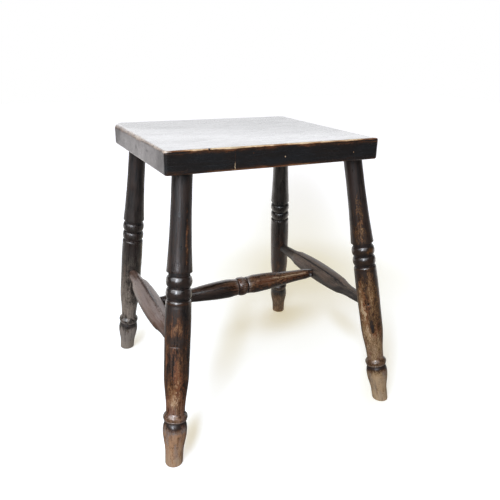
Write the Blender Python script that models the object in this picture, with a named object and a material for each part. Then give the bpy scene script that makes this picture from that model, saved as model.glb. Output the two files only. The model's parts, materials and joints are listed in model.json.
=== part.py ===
"""A country stool: a plank seat on four turned, splayed legs, tied below by three turned stretchers.

The two side stretchers run from front leg to back leg, and the cross stretcher joins their middles.
Metres, +Z up. The origin lies on the floor, at the middle of the leg frame. The front looks along -Y.
"""
import math

import bmesh
import bpy
from mathutils import Matrix, Vector

# Fits, shared by every joint
fit_gap = 0.0003
cut_overrun = 0.004
edge_softening = 0.0012

# Seat plank
seat_height = 0.500
seat_width = 0.376
seat_depth = 0.328
seat_thickness = 0.036
seat_shift_left = 0.006
front_corner_radius = 0.005
back_corner_radius = 0.022
seat_edge_radius = 0.0025

# Leg frame: sockets in the seat's underside, and how far each foot stands out from its socket
socket_spacing_x = 0.312
socket_spacing_y = 0.256
leg_splay_x = 0.055
leg_splay_y = 0.080
back_left_upright_x = 0.020
back_left_upright_y = 0.021

# Leg tenon in the seat
leg_tenon_depth = 0.026
leg_tenon_end_radius = 0.0135

# Leg outline, from the seat's underside down to the foot
leg_top_radius = 0.0160
leg_shoulder_drop = 0.1565
leg_shoulder_radius = 0.0205
upper_swell_power = 2.6
collar_groove_width = 0.0055
collar_groove_radius = 0.0170
bead_length = 0.0175
bead_radius = 0.0207
bead_groove_width = 0.0015
shaft_top_radius = 0.0204
shaft_belly_drop = 0.238
shaft_belly_radius = 0.0209
shaft_taper_drop = 0.320
shaft_taper_radius = 0.0202
ankle_drop = 0.3855
ankle_radius = 0.0153
foot_ring_length = 0.0125
foot_ring_radius = 0.0197
foot_groove_width = 0.0030
foot_groove_radius = 0.0168
foot_bulge_drop = 0.416
foot_bulge_radius = 0.0197
foot_taper_drop = 0.456
foot_taper_radius = 0.0148
foot_end_radius = 0.0141

# Stretcher frame
stretcher_height = 0.192
stretcher_tenon_radius = 0.0090
stretcher_tenon_depth = 0.024

# Side stretcher outline, measured from its middle
side_middle_radius = 0.0198
side_shoulder_reach = 0.080
side_shoulder_radius = 0.0164
side_neck_reach = 0.122
side_neck_radius = 0.0109

# Cross stretcher outline, measured from its middle
cross_tenon_depth = 0.022
cross_bead_reach = 0.0090
cross_bead_radius = 0.0180
cross_groove_radius = 0.0150
cross_groove_width = 0.0020
cross_collar_radius = 0.0170
cross_belly_reach = 0.030
cross_belly_radius = 0.0182
cross_neck_reach = 0.150
cross_neck_radius = 0.0108

# Nail that locks the cross stretcher's right tenon
nail_shank_radius = 0.0011
nail_head_radius = 0.0030
nail_head_rise = 0.0013
nail_length = 0.038
nail_point_radius = 0.0003
nail_setback = 0.007
nail_lean = math.radians(45)

# Mesh counts
leg_sides = 20
stretcher_sides = 16
nail_sides = 10
corner_steps = 5
edge_steps = 2
swell_steps = 6
bead_steps = 6
curve_steps = 5
smooth_angle = math.radians(35)
merge_share = 0.01


def clear_scene():
    """Remove the objects that the file opened with."""
    for item in list(bpy.data.objects):
        bpy.data.objects.remove(item, do_unlink=True)


def finish(name, colour, roughness, metallic=0.0):
    """Make a plain material from a linear colour, a roughness and a metallic value."""
    material = bpy.data.materials.new(name)
    material.use_nodes = True
    shader = material.node_tree.nodes["Principled BSDF"]
    shader.inputs["Base Color"].default_value = (*colour, 1.0)
    shader.inputs["Roughness"].default_value = roughness
    shader.inputs["Metallic"].default_value = metallic
    material.diffuse_color = (*colour, 1.0)
    return material


def add_piece(name, bm, matrix, material=None):
    """Put a finished mesh in the scene under its name, smooth over its round faces."""
    bmesh.ops.recalc_face_normals(bm, faces=bm.faces[:])
    mesh = bpy.data.meshes.new(name)
    bm.to_mesh(mesh)
    bm.free()
    if material:
        mesh.materials.append(material)
    mesh.shade_smooth()
    mesh.set_sharp_from_angle(angle=smooth_angle)
    piece = bpy.data.objects.new(name, mesh)
    piece.matrix_world = matrix
    bpy.context.scene.collection.objects.link(piece)
    return piece


def add_cutter(name, bm, matrix):
    """Put a cutting shape in the scene as a wire guide that is no piece of the stool."""
    cutter = add_piece(name, bm, matrix)
    cutter.hide_render = True
    cutter.display_type = "WIRE"
    return cutter


def cut(piece, cutter):
    """Cut the cutter's shape out of the piece."""
    boolean = piece.modifiers.new(cutter.name, "BOOLEAN")
    boolean.operation = "DIFFERENCE"
    boolean.solver = "EXACT"
    boolean.object = cutter


def turned(outline, sides):
    """Turn an outline of (distance along the axis, radius) pairs round the local Z axis."""
    bm = bmesh.new()
    ends = [(outline[0][0], 0.0), *outline, (outline[-1][0], 0.0)]
    verts = [bm.verts.new((radius, 0.0, distance)) for distance, radius in ends]
    edges = [bm.edges.new(pair) for pair in zip(verts, verts[1:])]
    bmesh.ops.spin(
        bm, geom=verts + edges, cent=(0, 0, 0), axis=(0, 0, 1),
        angle=math.tau, steps=sides, use_merge=True, use_duplicate=False,
    )
    bmesh.ops.remove_doubles(bm, verts=bm.verts[:], dist=fit_gap * merge_share)
    return bm


def along(start, end):
    """Matrix that puts the local Z axis on the line from start to end, with its zero at start."""
    turn = (end - start).to_track_quat("Z", "Y")
    matrix = turn.to_matrix().to_4x4()
    matrix.translation = start
    return matrix


def eased(start, end, steps):
    """Points of an S-shaped sweep between two (distance, radius) points, without the first one."""
    points = []
    for step in range(1, steps + 1):
        share = step / steps
        ease = (1 - math.cos(math.pi * share)) / 2
        points.append((start[0] + (end[0] - start[0]) * share, start[1] + (end[1] - start[1]) * ease))
    return points


def bowed(start, end, steps, power):
    """Points of a one-way curve between two points that starts flat and steepens, without the first."""
    points = []
    for step in range(1, steps + 1):
        share = step / steps
        rise = share ** power
        points.append((start[0] + (end[0] - start[0]) * share, start[1] + (end[1] - start[1]) * rise))
    return points


def bead(start, length, foot_radius, crest_radius):
    """Points over a round bead, from one foot to the other."""
    points = []
    for step in range(bead_steps + 1):
        angle = math.pi * step / bead_steps
        distance = start + length * (1 - math.cos(angle)) / 2
        points.append((distance, foot_radius + (crest_radius - foot_radius) * math.sin(angle)))
    return points


def collar_points():
    """Points of the leg's two beads with the grooves round them, and the lower shaft's top edge."""
    first_bead = leg_shoulder_drop + collar_groove_width
    second_bead = first_bead + bead_length + bead_groove_width
    shaft_top = second_bead + bead_length + collar_groove_width
    return [
        (leg_shoulder_drop, leg_shoulder_radius - edge_softening),
        (leg_shoulder_drop + edge_softening, collar_groove_radius),
        *bead(first_bead, bead_length, collar_groove_radius, bead_radius),
        *bead(second_bead, bead_length, collar_groove_radius, bead_radius),
        (shaft_top - edge_softening, collar_groove_radius),
        (shaft_top, shaft_top_radius - edge_softening),
        (shaft_top + edge_softening, shaft_top_radius),
    ]


def foot_points():
    """Points of the foot: a ring on the ankle, a groove, and a bulge that tapers to the floor."""
    ring_end = ankle_drop + foot_ring_length
    groove_end = ring_end + foot_groove_width
    return [
        *bead(ankle_drop, foot_ring_length, ankle_radius + edge_softening, foot_ring_radius),
        (ring_end + foot_groove_width / 2, foot_groove_radius),
        (groove_end, foot_groove_radius + edge_softening),
        *eased((groove_end, foot_groove_radius + edge_softening),
               (foot_bulge_drop, foot_bulge_radius), curve_steps - 2),
        *eased((foot_bulge_drop, foot_bulge_radius), (foot_taper_drop, foot_taper_radius), curve_steps),
    ]


def leg_outline(length):
    """Outline of a whole leg, from the end of its tenon to a little below the floor."""
    shaft_points = collar_points()
    return [
        (-leg_tenon_depth, leg_tenon_end_radius),
        (0.0, leg_top_radius),
        *bowed((0.0, leg_top_radius), (leg_shoulder_drop - edge_softening, leg_shoulder_radius),
               swell_steps, upper_swell_power),
        *shaft_points,
        *eased(shaft_points[-1], (shaft_belly_drop, shaft_belly_radius), 2),
        *eased((shaft_belly_drop, shaft_belly_radius), (shaft_taper_drop, shaft_taper_radius), 3),
        *eased((shaft_taper_drop, shaft_taper_radius), (ankle_drop, ankle_radius), curve_steps),
        *foot_points(),
        (length + foot_end_radius, foot_end_radius),
    ]


def radius_at(outline, distance):
    """Radius of an outline at a distance along it."""
    for (start, start_radius), (end, end_radius) in zip(outline, outline[1:]):
        if start <= distance <= end and end > start:
            return start_radius + (end_radius - start_radius) * (distance - start) / (end - start)
    return outline[-1][1]


class Leg:
    """Where one leg runs: its socket in the seat's underside, its foot on the floor, and its outline."""

    def __init__(self, name, side_x, side_y, upright_x=0.0, upright_y=0.0):
        underside = seat_height - seat_thickness
        self.name = name
        self.socket = Vector((side_x * socket_spacing_x / 2, side_y * socket_spacing_y / 2, underside))
        self.foot = Vector((
            self.socket.x + side_x * (leg_splay_x - upright_x),
            self.socket.y + side_y * (leg_splay_y - upright_y),
            0.0,
        ))
        self.outline = leg_outline((self.foot - self.socket).length)
        self.matrix = along(self.socket, self.foot)

    def at_height(self, height):
        """Point on the leg's axis at a height above the floor."""
        share = (self.socket.z - height) / self.socket.z
        return self.socket.lerp(self.foot, share)

    def radius_at_height(self, height):
        """Radius of the leg where its axis passes a height above the floor."""
        return radius_at(self.outline, (self.at_height(height) - self.socket).length)


def cut_at_floor(bm, matrix):
    """Cut a leg's mesh level with the floor, close it, and soften the rim it stands on."""
    inverse = matrix.inverted()
    down = (inverse.to_3x3() @ Vector((0, 0, -1))).normalized()
    geometry = bm.verts[:] + bm.edges[:] + bm.faces[:]
    floor_point = inverse @ Vector((0, 0, 0))
    bmesh.ops.bisect_plane(bm, geom=geometry, plane_co=floor_point, plane_no=down, clear_outer=True)
    rim = [edge for edge in bm.edges if edge.is_boundary]
    bmesh.ops.edgeloop_fill(bm, edges=rim)
    bmesh.ops.bevel(bm, geom=rim, offset=edge_softening, segments=1, profile=0.5,
                    affect="EDGES", material=-1)


def make_leg(leg, material):
    """Build one leg, cut level at the floor."""
    bm = turned(leg.outline, leg_sides)
    cut_at_floor(bm, leg.matrix)
    return add_piece(leg.name, bm, leg.matrix, material)


def socket_cutter(leg):
    """Tapered hole in the seat that takes a leg's tenon with the fit's gap all round."""
    outline = [
        (-leg_tenon_depth - fit_gap, leg_tenon_end_radius + fit_gap),
        (0.0, leg_top_radius + fit_gap),
        (leg_top_radius, leg_top_radius + fit_gap),
    ]
    return add_cutter(leg.name + "_socket", turned(outline, leg_sides), leg.matrix)


def seat_plan():
    """Corner points of the seat seen from above, with small front and larger back corner arcs."""
    points = []
    corners = (
        (-1, -1, front_corner_radius, 180),
        (1, -1, front_corner_radius, 270),
        (1, 1, back_corner_radius, 0),
        (-1, 1, back_corner_radius, 90),
    )
    for side_x, side_y, radius, start_angle in corners:
        centre_x = side_x * (seat_width / 2 - radius)
        centre_y = side_y * (seat_depth / 2 - radius)
        for step in range(corner_steps + 1):
            angle = math.radians(start_angle + 90 * step / corner_steps)
            points.append((centre_x + radius * math.cos(angle), centre_y + radius * math.sin(angle)))
    return points


def make_seat(legs, material):
    """Build the seat plank with softened edges and a blind socket for each leg."""
    bm = bmesh.new()
    face = bm.faces.new([bm.verts.new((x, y, 0.0)) for x, y in seat_plan()])
    grown = bmesh.ops.extrude_face_region(bm, geom=[face])
    raised = [item for item in grown["geom"] if isinstance(item, bmesh.types.BMVert)]
    bmesh.ops.translate(bm, verts=raised, vec=(0, 0, seat_thickness))
    rims = [edge for edge in bm.edges if edge.verts[0].co.z == edge.verts[1].co.z]
    bmesh.ops.bevel(bm, geom=rims, offset=seat_edge_radius, segments=edge_steps, profile=0.5,
                    affect="EDGES", material=-1)
    place = Matrix.Translation((-seat_shift_left, 0.0, seat_height - seat_thickness))
    seat = add_piece("seat_plank", bm, place, material)
    for leg in legs:
        cut(seat, socket_cutter(leg))
    return seat


def mirrored(half):
    """Whole outline from its half, whose distances start at the middle and grow."""
    return [(-distance, radius) for distance, radius in reversed(half[1:])] + half


def side_half_outline(reach, plain_reach):
    """Half of a side stretcher's outline: belly, shoulder, hollow neck and round tenon."""
    return [
        (0.0, side_middle_radius),
        *bowed((0.0, side_middle_radius), (side_shoulder_reach, side_shoulder_radius), curve_steps, 2),
        *reversed(bowed((side_neck_reach, side_neck_radius),
                        (side_shoulder_reach, side_shoulder_radius), curve_steps - 1, 2)[:-1]),
        (side_neck_reach, side_neck_radius),
        (plain_reach, stretcher_tenon_radius),
        (reach, stretcher_tenon_radius),
    ]


def cross_half_outline(reach, plain_reach):
    """Half of the cross stretcher's outline: bead, groove, collar, long belly, neck and tenon."""
    collar = cross_bead_reach + cross_groove_width
    half_bead = bead(-cross_bead_reach, 2 * cross_bead_reach, cross_groove_radius, cross_bead_radius)
    return [
        *half_bead[bead_steps // 2:],
        (collar, cross_groove_radius),
        (collar + edge_softening, cross_collar_radius),
        *eased((collar + edge_softening, cross_collar_radius),
               (cross_belly_reach, cross_belly_radius), 2),
        *eased((cross_belly_reach, cross_belly_radius), (cross_neck_reach, cross_neck_radius), swell_steps),
        (plain_reach, stretcher_tenon_radius),
        (reach, stretcher_tenon_radius),
    ]


class Stretcher:
    """A turned bar between two axes, with a round tenon let into the piece at each end."""

    def __init__(self, name, start, end, end_radius, depth, half_outline):
        span = end - start
        self.name = name
        self.middle = start.lerp(end, 0.5)
        self.half_span = span.length / 2
        self.direction = span.normalized()
        self.surface_reach = self.half_span - end_radius
        self.depth = depth
        self.matrix = along(self.middle, end)
        plain_reach = self.surface_reach - cut_overrun
        self.outline = mirrored(half_outline(self.surface_reach + depth, plain_reach))

    def mortise_cutter(self, side):
        """Blind hole for the tenon at one end: side is 1 for the end and -1 for the start."""
        outline = [
            (self.surface_reach - cut_overrun, stretcher_tenon_radius + fit_gap),
            (self.surface_reach + self.depth + fit_gap, stretcher_tenon_radius + fit_gap),
        ]
        bm = turned([(side * distance, radius) for distance, radius in outline], stretcher_sides)
        name = self.name + ("_end_mortise" if side > 0 else "_start_mortise")
        return add_cutter(name, bm, self.matrix)


def side_stretcher(name, front_leg, back_leg):
    """Side stretcher from a front leg to a back leg."""
    start = front_leg.at_height(stretcher_height)
    end = back_leg.at_height(stretcher_height)
    leg_radius = front_leg.radius_at_height(stretcher_height)
    return Stretcher(name, start, end, leg_radius, stretcher_tenon_depth, side_half_outline)


def cross_stretcher(left, right):
    """Cross stretcher from the middle of the left side stretcher to the middle of the right one."""
    return Stretcher("cross_stretcher", left.middle, right.middle, side_middle_radius,
                     cross_tenon_depth, cross_half_outline)


def make_stretcher(stretcher, material):
    """Build one stretcher."""
    bm = turned(stretcher.outline, stretcher_sides)
    return add_piece(stretcher.name, bm, stretcher.matrix, material)


def nail_matrix(cross):
    """Place of the nail: its head on the front of the cross stretcher's right neck, leaning inwards."""
    front = Vector((0, -1, 0))
    entry = cross.middle + cross.direction * (cross.surface_reach - nail_setback)
    neck_radius = radius_at(cross.outline, cross.surface_reach - nail_setback)
    entry += front * neck_radius
    run = cross.direction * math.cos(nail_lean) - front * math.sin(nail_lean)
    return along(entry, entry + run)


def nail_outline(growth):
    """Outline of the nail, from its head to its point, grown all round by a clearance."""
    head = [
        (-nail_head_rise - growth, nail_head_radius / 2 + growth),
        (-nail_head_rise / 2 - growth, nail_head_radius + growth),
        (nail_shank_radius + growth, nail_head_radius + growth),
        (nail_shank_radius + growth, nail_shank_radius + growth),
    ]
    taper_start = nail_length - 2 * nail_head_radius
    return [
        *head,
        (taper_start, nail_shank_radius + growth),
        (nail_length + growth, nail_point_radius + growth),
    ]


def make_nail(cross_piece, side_piece, cross, material):
    """Drive the nail through the cross stretcher's neck and tenon into the side stretcher."""
    matrix = nail_matrix(cross)
    nail = add_piece("joint_nail", turned(nail_outline(0.0), nail_sides), matrix, material)
    hole = add_cutter("nail_hole", turned(nail_outline(fit_gap), nail_sides), matrix)
    cut(cross_piece, hole)
    cut(side_piece, hole)
    return nail


def build_stool():
    """Build every piece of the stool and cut its joints."""
    clear_scene()
    seat_finish = finish("ebonised_seat", (0.022, 0.020, 0.019), 0.32)
    leg_finish = finish("ebonised_leg", (0.030, 0.022, 0.017), 0.36)
    stretcher_finish = finish("worn_stretcher", (0.050, 0.032, 0.024), 0.40)
    iron = finish("dull_iron", (0.060, 0.058, 0.060), 0.45, 1.0)

    front_left = Leg("front_left_leg", -1, -1)
    front_right = Leg("front_right_leg", 1, -1)
    back_left = Leg("back_left_leg", -1, 1, back_left_upright_x, back_left_upright_y)
    back_right = Leg("back_right_leg", 1, 1)
    legs = [front_left, front_right, back_left, back_right]
    make_seat(legs, seat_finish)
    leg_pieces = {leg.name: make_leg(leg, leg_finish) for leg in legs}

    left = side_stretcher("left_side_stretcher", front_left, back_left)
    right = side_stretcher("right_side_stretcher", front_right, back_right)
    cross = cross_stretcher(left, right)
    left_piece = make_stretcher(left, stretcher_finish)
    right_piece = make_stretcher(right, stretcher_finish)
    cross_piece = make_stretcher(cross, stretcher_finish)

    for stretcher, front_leg, back_leg in ((left, front_left, back_left), (right, front_right, back_right)):
        cut(leg_pieces[front_leg.name], stretcher.mortise_cutter(-1))
        cut(leg_pieces[back_leg.name], stretcher.mortise_cutter(1))
    cut(left_piece, cross.mortise_cutter(-1))
    cut(right_piece, cross.mortise_cutter(1))
    make_nail(cross_piece, right_piece, cross, iron)


build_stool()
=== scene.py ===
"""The looks of a country stool: an ebonised plank seat on four turned legs, tied by turned stretchers.

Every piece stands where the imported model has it, in metres, with +Z up and the front towards -Y.
"""
import json
import logging
import math
from collections.abc import Callable, Sequence
from dataclasses import dataclass
from enum import Enum
from typing import NamedTuple

import bmesh
import bpy
from bmesh.types import BMesh, BMVert
from bpy.types import ID, Material, Node, NodeSocket, NodeTree, Object
from mathutils import Matrix, Vector, noise

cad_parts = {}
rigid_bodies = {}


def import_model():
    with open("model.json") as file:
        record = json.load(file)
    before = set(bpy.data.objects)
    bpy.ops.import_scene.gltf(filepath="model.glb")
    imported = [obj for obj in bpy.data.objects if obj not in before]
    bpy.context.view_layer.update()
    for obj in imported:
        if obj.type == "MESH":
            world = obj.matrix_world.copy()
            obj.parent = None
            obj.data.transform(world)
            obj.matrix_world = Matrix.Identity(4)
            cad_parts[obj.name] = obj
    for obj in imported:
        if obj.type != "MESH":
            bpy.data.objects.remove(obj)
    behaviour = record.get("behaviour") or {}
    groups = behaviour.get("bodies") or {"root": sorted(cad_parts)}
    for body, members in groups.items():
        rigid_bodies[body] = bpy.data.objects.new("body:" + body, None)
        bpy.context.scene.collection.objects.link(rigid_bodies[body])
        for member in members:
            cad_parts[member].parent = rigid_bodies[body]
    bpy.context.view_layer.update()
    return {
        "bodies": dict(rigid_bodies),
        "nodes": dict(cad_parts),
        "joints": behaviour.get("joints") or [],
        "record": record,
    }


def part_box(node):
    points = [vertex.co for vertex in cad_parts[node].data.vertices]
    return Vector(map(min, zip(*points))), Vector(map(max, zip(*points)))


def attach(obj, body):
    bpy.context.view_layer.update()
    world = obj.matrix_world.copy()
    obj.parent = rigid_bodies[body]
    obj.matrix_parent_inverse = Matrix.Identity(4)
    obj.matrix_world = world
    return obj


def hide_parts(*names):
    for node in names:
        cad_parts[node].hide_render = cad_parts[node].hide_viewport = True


LOG = logging.getLogger("country_stool")
BODY = "root"
RUB = "rub"
FRONT = Vector((0.0, -1.0, 0.0))
RIGHT = Vector((1.0, 0.0, 0.0))
UP = Vector((0.0, 0.0, 1.0))
SMOOTH_ANGLE = math.radians(40)
MERGE_DISTANCE = 0.000002
NOISE_MIDDLE = 0.5
GROOVE_RUB = -0.6
FIRST_BAR_SEED = 7
WHITE = (1.0, 1.0, 1.0)

Colour = tuple[float, float, float]
Stops = tuple[tuple[float, Colour], ...]
Span = tuple[float, float]


class Place(Enum):
    """A named place on the stool."""

    @property
    def word(self) -> str:
        """The place's name in small letters."""
        return self.name.lower()


class Corner(Place):
    """A leg's place under the seat: its side along X, and its side along Y."""

    FRONT_LEFT = (-1, -1)
    FRONT_RIGHT = (1, -1)
    BACK_LEFT = (-1, 1)
    BACK_RIGHT = (1, 1)


class Side(Place):
    """One side of the stool, with its front leg and its back leg."""

    LEFT = (Corner.FRONT_LEFT, Corner.BACK_LEFT)
    RIGHT = (Corner.FRONT_RIGHT, Corner.BACK_RIGHT)


# Shading: expressions on shader sockets


class Signal:
    """A number that varies over a surface, which takes part in Python sums as Math nodes."""

    def __init__(self, sheet: "Sheet", socket: NodeSocket) -> None:
        """Wrap a socket of a sheet.

        Args:
            sheet: The sheet that the socket's node is on.
            socket: The output that gives the number.
        """
        self.sheet = sheet
        self.socket = socket

    def _math(self, operation: str, *values: "Signal | float") -> "Signal":
        """Feed values into a new Math node and wrap its result."""
        node = self.sheet.node("ShaderNodeMath", {"operation": operation}, dict(enumerate(values)))
        return Signal(self.sheet, node.outputs["Value"])

    def __add__(self, other: "Signal | float") -> "Signal":
        """This number plus another."""
        return self._math("ADD", self, other)

    def __radd__(self, other: float) -> "Signal":
        """A plain number plus this one."""
        return self._math("ADD", other, self)

    def __sub__(self, other: "Signal | float") -> "Signal":
        """This number minus another."""
        return self._math("SUBTRACT", self, other)

    def __rsub__(self, other: float) -> "Signal":
        """A plain number minus this one."""
        return self._math("SUBTRACT", other, self)

    def __mul__(self, other: "Signal | float") -> "Signal":
        """This number times another."""
        return self._math("MULTIPLY", self, other)

    def __rmul__(self, other: float) -> "Signal":
        """A plain number times this one."""
        return self._math("MULTIPLY", other, self)

    def __truediv__(self, other: "Signal | float") -> "Signal":
        """This number divided by another."""
        return self._math("DIVIDE", self, other)

    def lowest(self, other: "Signal | float") -> "Signal":
        """The lower of this number and another."""
        return self._math("MINIMUM", self, other)

    def highest(self, other: "Signal | float") -> "Signal":
        """The higher of this number and another."""
        return self._math("MAXIMUM", self, other)

    def within(self, low: float, high: float) -> "Signal":
        """This number, held between two others."""
        return self.highest(low).lowest(high)

    def swing(self, depth: "Signal | float") -> "Signal":
        """This noise put around zero, times a depth."""
        return (self - NOISE_MIDDLE) * depth

    def root(self) -> "Signal":
        """The square root of this number."""
        return self._math("SQRT", self)

    def rise(self, low: float, high: float) -> "Signal":
        """A smooth step over this number.

        Args:
            low: Where the step is still at zero.
            high: Where it reaches one.

        Returns:
            A number from zero to one.
        """
        values = {"Value": self, "From Min": low, "From Max": high}
        node = self.sheet.node("ShaderNodeMapRange", {"interpolation_type": "SMOOTHSTEP"}, values)
        return Signal(self.sheet, node.outputs["Result"])

    def fall(self, low: float, high: float) -> "Signal":
        """A smooth step that is one up to low, and zero from high on."""
        return 1.0 - self.rise(low, high)

    def band(self, start: Span, end: Span) -> "Signal":
        """One between a rise over one span and a fall over another."""
        return self.rise(*start) * self.fall(*end)


class Pattern(NamedTuple):
    """Soft noise, drawn out along the grain.

    Attributes:
        scale: How many times a metre it varies.
        along: The share of that along the grain.
        detail: How many finer layers it has.
        shift: A push of its crests sideways, which bends it.
        roughness: How strong the finer layers are.
        across: The share of its scale across the grain.
    """

    scale: float
    along: float = 1.0
    detail: float = 3.0
    shift: float = 0.0
    roughness: float = 0.55
    across: float = 1.0


class Sheet:
    """A node tree to which nodes are added one at a time."""

    MIX_COLOURS = (6, 7)
    MIX_RESULT = 2
    RAYS = ("Is Camera Ray", "Is Glossy Ray", "Is Transmission Ray")

    def __init__(self, tree: NodeTree) -> None:
        """Start with an empty tree.

        Args:
            tree: The tree of a material or a world.
        """
        self.tree = tree
        tree.nodes.clear()

    def node(self, kind: str, settings: dict | None = None, values: dict | None = None,
             stops: Sequence[tuple[float, Colour]] = ()) -> Node:
        """Add one node.

        Args:
            kind: The node's type.
            settings: Its properties, set first.
            values: A value, a socket or a signal for each input, by its name or number.
            stops: Where it is a colour ramp, the colours at its positions, in order.

        Returns:
            The new node.
        """
        node = self.tree.nodes.new(kind)
        for name, value in (settings or {}).items():
            setattr(node, name, value)
        for number, (position, colour) in enumerate(stops):
            ramp = node.color_ramp.elements
            stop = ramp[number] if number < len(ramp) else ramp.new(position)
            stop.position = position
            stop.color = (*colour, 1.0)
        for key, value in (values or {}).items():
            source = value.socket if isinstance(value, Signal) else value
            if isinstance(source, NodeSocket):
                self.tree.links.new(source, node.inputs[key])
            else:
                node.inputs[key].default_value = source
        return node

    def vector_math(self, operation: str, *values: object) -> Node:
        """Feed vectors into a new Vector Math node."""
        return self.node("ShaderNodeVectorMath", {"operation": operation}, dict(enumerate(values)))

    def show(self, shader: Node, kind: str = "ShaderNodeOutputMaterial") -> None:
        """Let a shader be what the whole tree shows."""
        self.node(kind, None, {"Surface": shader.outputs[0]})

    def objects(self) -> NodeSocket:
        """The surface's Object coordinates, which are the model's own."""
        return self.node("ShaderNodeTexCoord").outputs["Object"]

    def rays(self) -> tuple[Signal, Signal, Signal]:
        """One on rays from the camera, from glossy surfaces and through clear ones, and zero on others."""
        path = self.node("ShaderNodeLightPath")
        return tuple(Signal(self, path.outputs[name]) for name in self.RAYS)

    def place(self, frame: Matrix) -> NodeSocket:
        """Coordinates in a piece's own frame, from its Object coordinates.

        Args:
            frame: The matrix that takes the piece's own frame to the model's.

        Returns:
            The vector output.
        """
        inverse = frame.inverted()
        values = {"Vector": self.objects(), "Location": inverse.translation, "Rotation": inverse.to_euler()}
        return self.node("ShaderNodeMapping", {"vector_type": "POINT"}, values).outputs["Vector"]

    def parts(self, vector: NodeSocket) -> tuple[Signal, Signal, Signal]:
        """The three numbers of a vector."""
        node = self.node("ShaderNodeSeparateXYZ", None, {"Vector": vector})
        return tuple(Signal(self, output) for output in node.outputs)

    def length(self, vector: NodeSocket) -> Signal:
        """The length of a vector."""
        return Signal(self, self.vector_math("LENGTH", vector).outputs["Value"])

    def ahead(self, vector: NodeSocket, way: Vector) -> Signal:
        """How far a vector goes one way."""
        return Signal(self, self.vector_math("DOT_PRODUCT", vector, way).outputs["Value"])

    def reach(self, vector: NodeSocket, middle: Sequence[float], size: Sequence[float],
              turn: float = 0.0) -> Signal:
        """Distance from a spot's middle, counted so that the spot's edge is at one.

        Args:
            vector: The coordinates.
            middle: The spot's middle.
            size: Half its size along each axis.
            turn: Radians that it is turned round Z.

        Returns:
            The distance.
        """
        values = {"Vector": vector, "Location": middle, "Rotation": (0.0, 0.0, turn), "Scale": size}
        spot = self.node("ShaderNodeMapping", {"vector_type": "TEXTURE"}, values)
        return self.length(spot.outputs["Vector"])

    def cloud(self, vector: NodeSocket, pattern: Pattern) -> Signal:
        """Soft noise around a half, from zero to one.

        Args:
            vector: The coordinates it is read at, with the grain along Z.
            pattern: What kind of noise it is.

        Returns:
            The noise.
        """
        share = (pattern.across, pattern.across, pattern.along)
        values = {
            "Vector": self.vector_math("MULTIPLY", vector, share).outputs["Vector"], "Scale": pattern.scale,
            "Detail": pattern.detail, "Distortion": pattern.shift, "Roughness": pattern.roughness,
        }
        return Signal(self, self.node("ShaderNodeTexNoise", None, values).outputs["Fac"])

    def attribute(self, name: str) -> Signal:
        """A number that the mesh carries."""
        return Signal(self, self.node("ShaderNodeAttribute", {"attribute_name": name}).outputs["Fac"])

    def mix(self, share: Signal, first: Node, second: Node) -> Node:
        """Mix two shaders, where the share is how much of the second shows."""
        values = {"Fac": share, 1: first.outputs[0], 2: second.outputs[0]}
        return self.node("ShaderNodeMixShader", None, values)

    def blend(self, share: Signal | float, first: object, second: object) -> NodeSocket:
        """Mix two colours.

        Args:
            share: How much of the second shows.
            first: A colour, or the socket of one.
            second: The same.

        Returns:
            The mixed colour's socket.
        """
        values = {"Factor": share}
        for index, colour in zip(self.MIX_COLOURS, (first, second)):
            linked = isinstance(colour, NodeSocket)
            values[index] = colour if linked else (*colour, 1.0)
        node = self.node("ShaderNodeMix", {"data_type": "RGBA"}, values)
        return node.outputs[self.MIX_RESULT]

    def bump(self, height: Signal, depth: float, normal: NodeSocket | None = None) -> NodeSocket:
        """A normal that follows a height.

        Args:
            height: The height, from zero to one.
            depth: How many metres a height of one stands for.
            normal: A normal to start from.

        Returns:
            The normal's socket.
        """
        values = {"Height": height, "Distance": depth, "Strength": 1.0}
        if normal:
            values["Normal"] = normal
        return self.node("ShaderNodeBump", None, values).outputs["Normal"]


def new_material(name: str) -> tuple[Material, Sheet]:
    """Start a material.

    Args:
        name: Its name.

    Returns:
        The material and its empty sheet.
    """
    material = bpy.data.materials.new(name)
    material.use_nodes = True
    return material, Sheet(material.node_tree)


# Finishes

BLACK_STOPS: Stops = (
    (0.0, (0.0100, 0.0090, 0.0095)), (0.18, (0.0150, 0.0100, 0.0080)), (0.36, (0.034, 0.0140, 0.0060)),
    (0.55, (0.092, 0.037, 0.0130)), (0.74, (0.215, 0.096, 0.036)), (0.90, (0.340, 0.190, 0.090)),
    (1.0, (0.480, 0.330, 0.205)),
)
GREYED_STOPS: Stops = (
    (0.0, (0.0110, 0.0100, 0.0105)), (0.18, (0.0165, 0.0130, 0.0120)), (0.36, (0.034, 0.027, 0.022)),
    (0.55, (0.074, 0.062, 0.050)), (0.74, (0.140, 0.118, 0.096)), (1.0, (0.270, 0.235, 0.195)),
)
GOLDEN_STOPS: Stops = (
    (0.0, (0.0100, 0.0090, 0.0095)), (0.18, (0.0160, 0.0105, 0.0080)), (0.34, (0.040, 0.0185, 0.0070)),
    (0.52, (0.100, 0.047, 0.0160)), (0.72, (0.200, 0.108, 0.045)), (0.90, (0.330, 0.205, 0.105)),
    (1.0, (0.480, 0.340, 0.210)),
)
SEAT_STOPS: Stops = (
    (0.0, (0.0098, 0.0094, 0.0098)), (0.25, (0.0165, 0.0110, 0.0095)), (0.45, (0.060, 0.026, 0.013)),
    (0.62, (0.190, 0.085, 0.036)), (0.80, (0.480, 0.270, 0.120)), (1.0, (0.800, 0.640, 0.420)),
)


class Mark(NamedTuple):
    """A spot on a turned piece, where its finish is worn or was spared; a few are painted highlights and
    painted dark reflections.

    Attributes:
        distance: Metres along the piece, from where its outline starts counting.
        turn: Degrees round it, from its face towards its right.
        length: Half its length in metres.
        width: Half its width in metres.
        depth: How much is worn there; below zero the finish was spared.
    """

    distance: float
    turn: float
    length: float
    width: float
    depth: float


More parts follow.
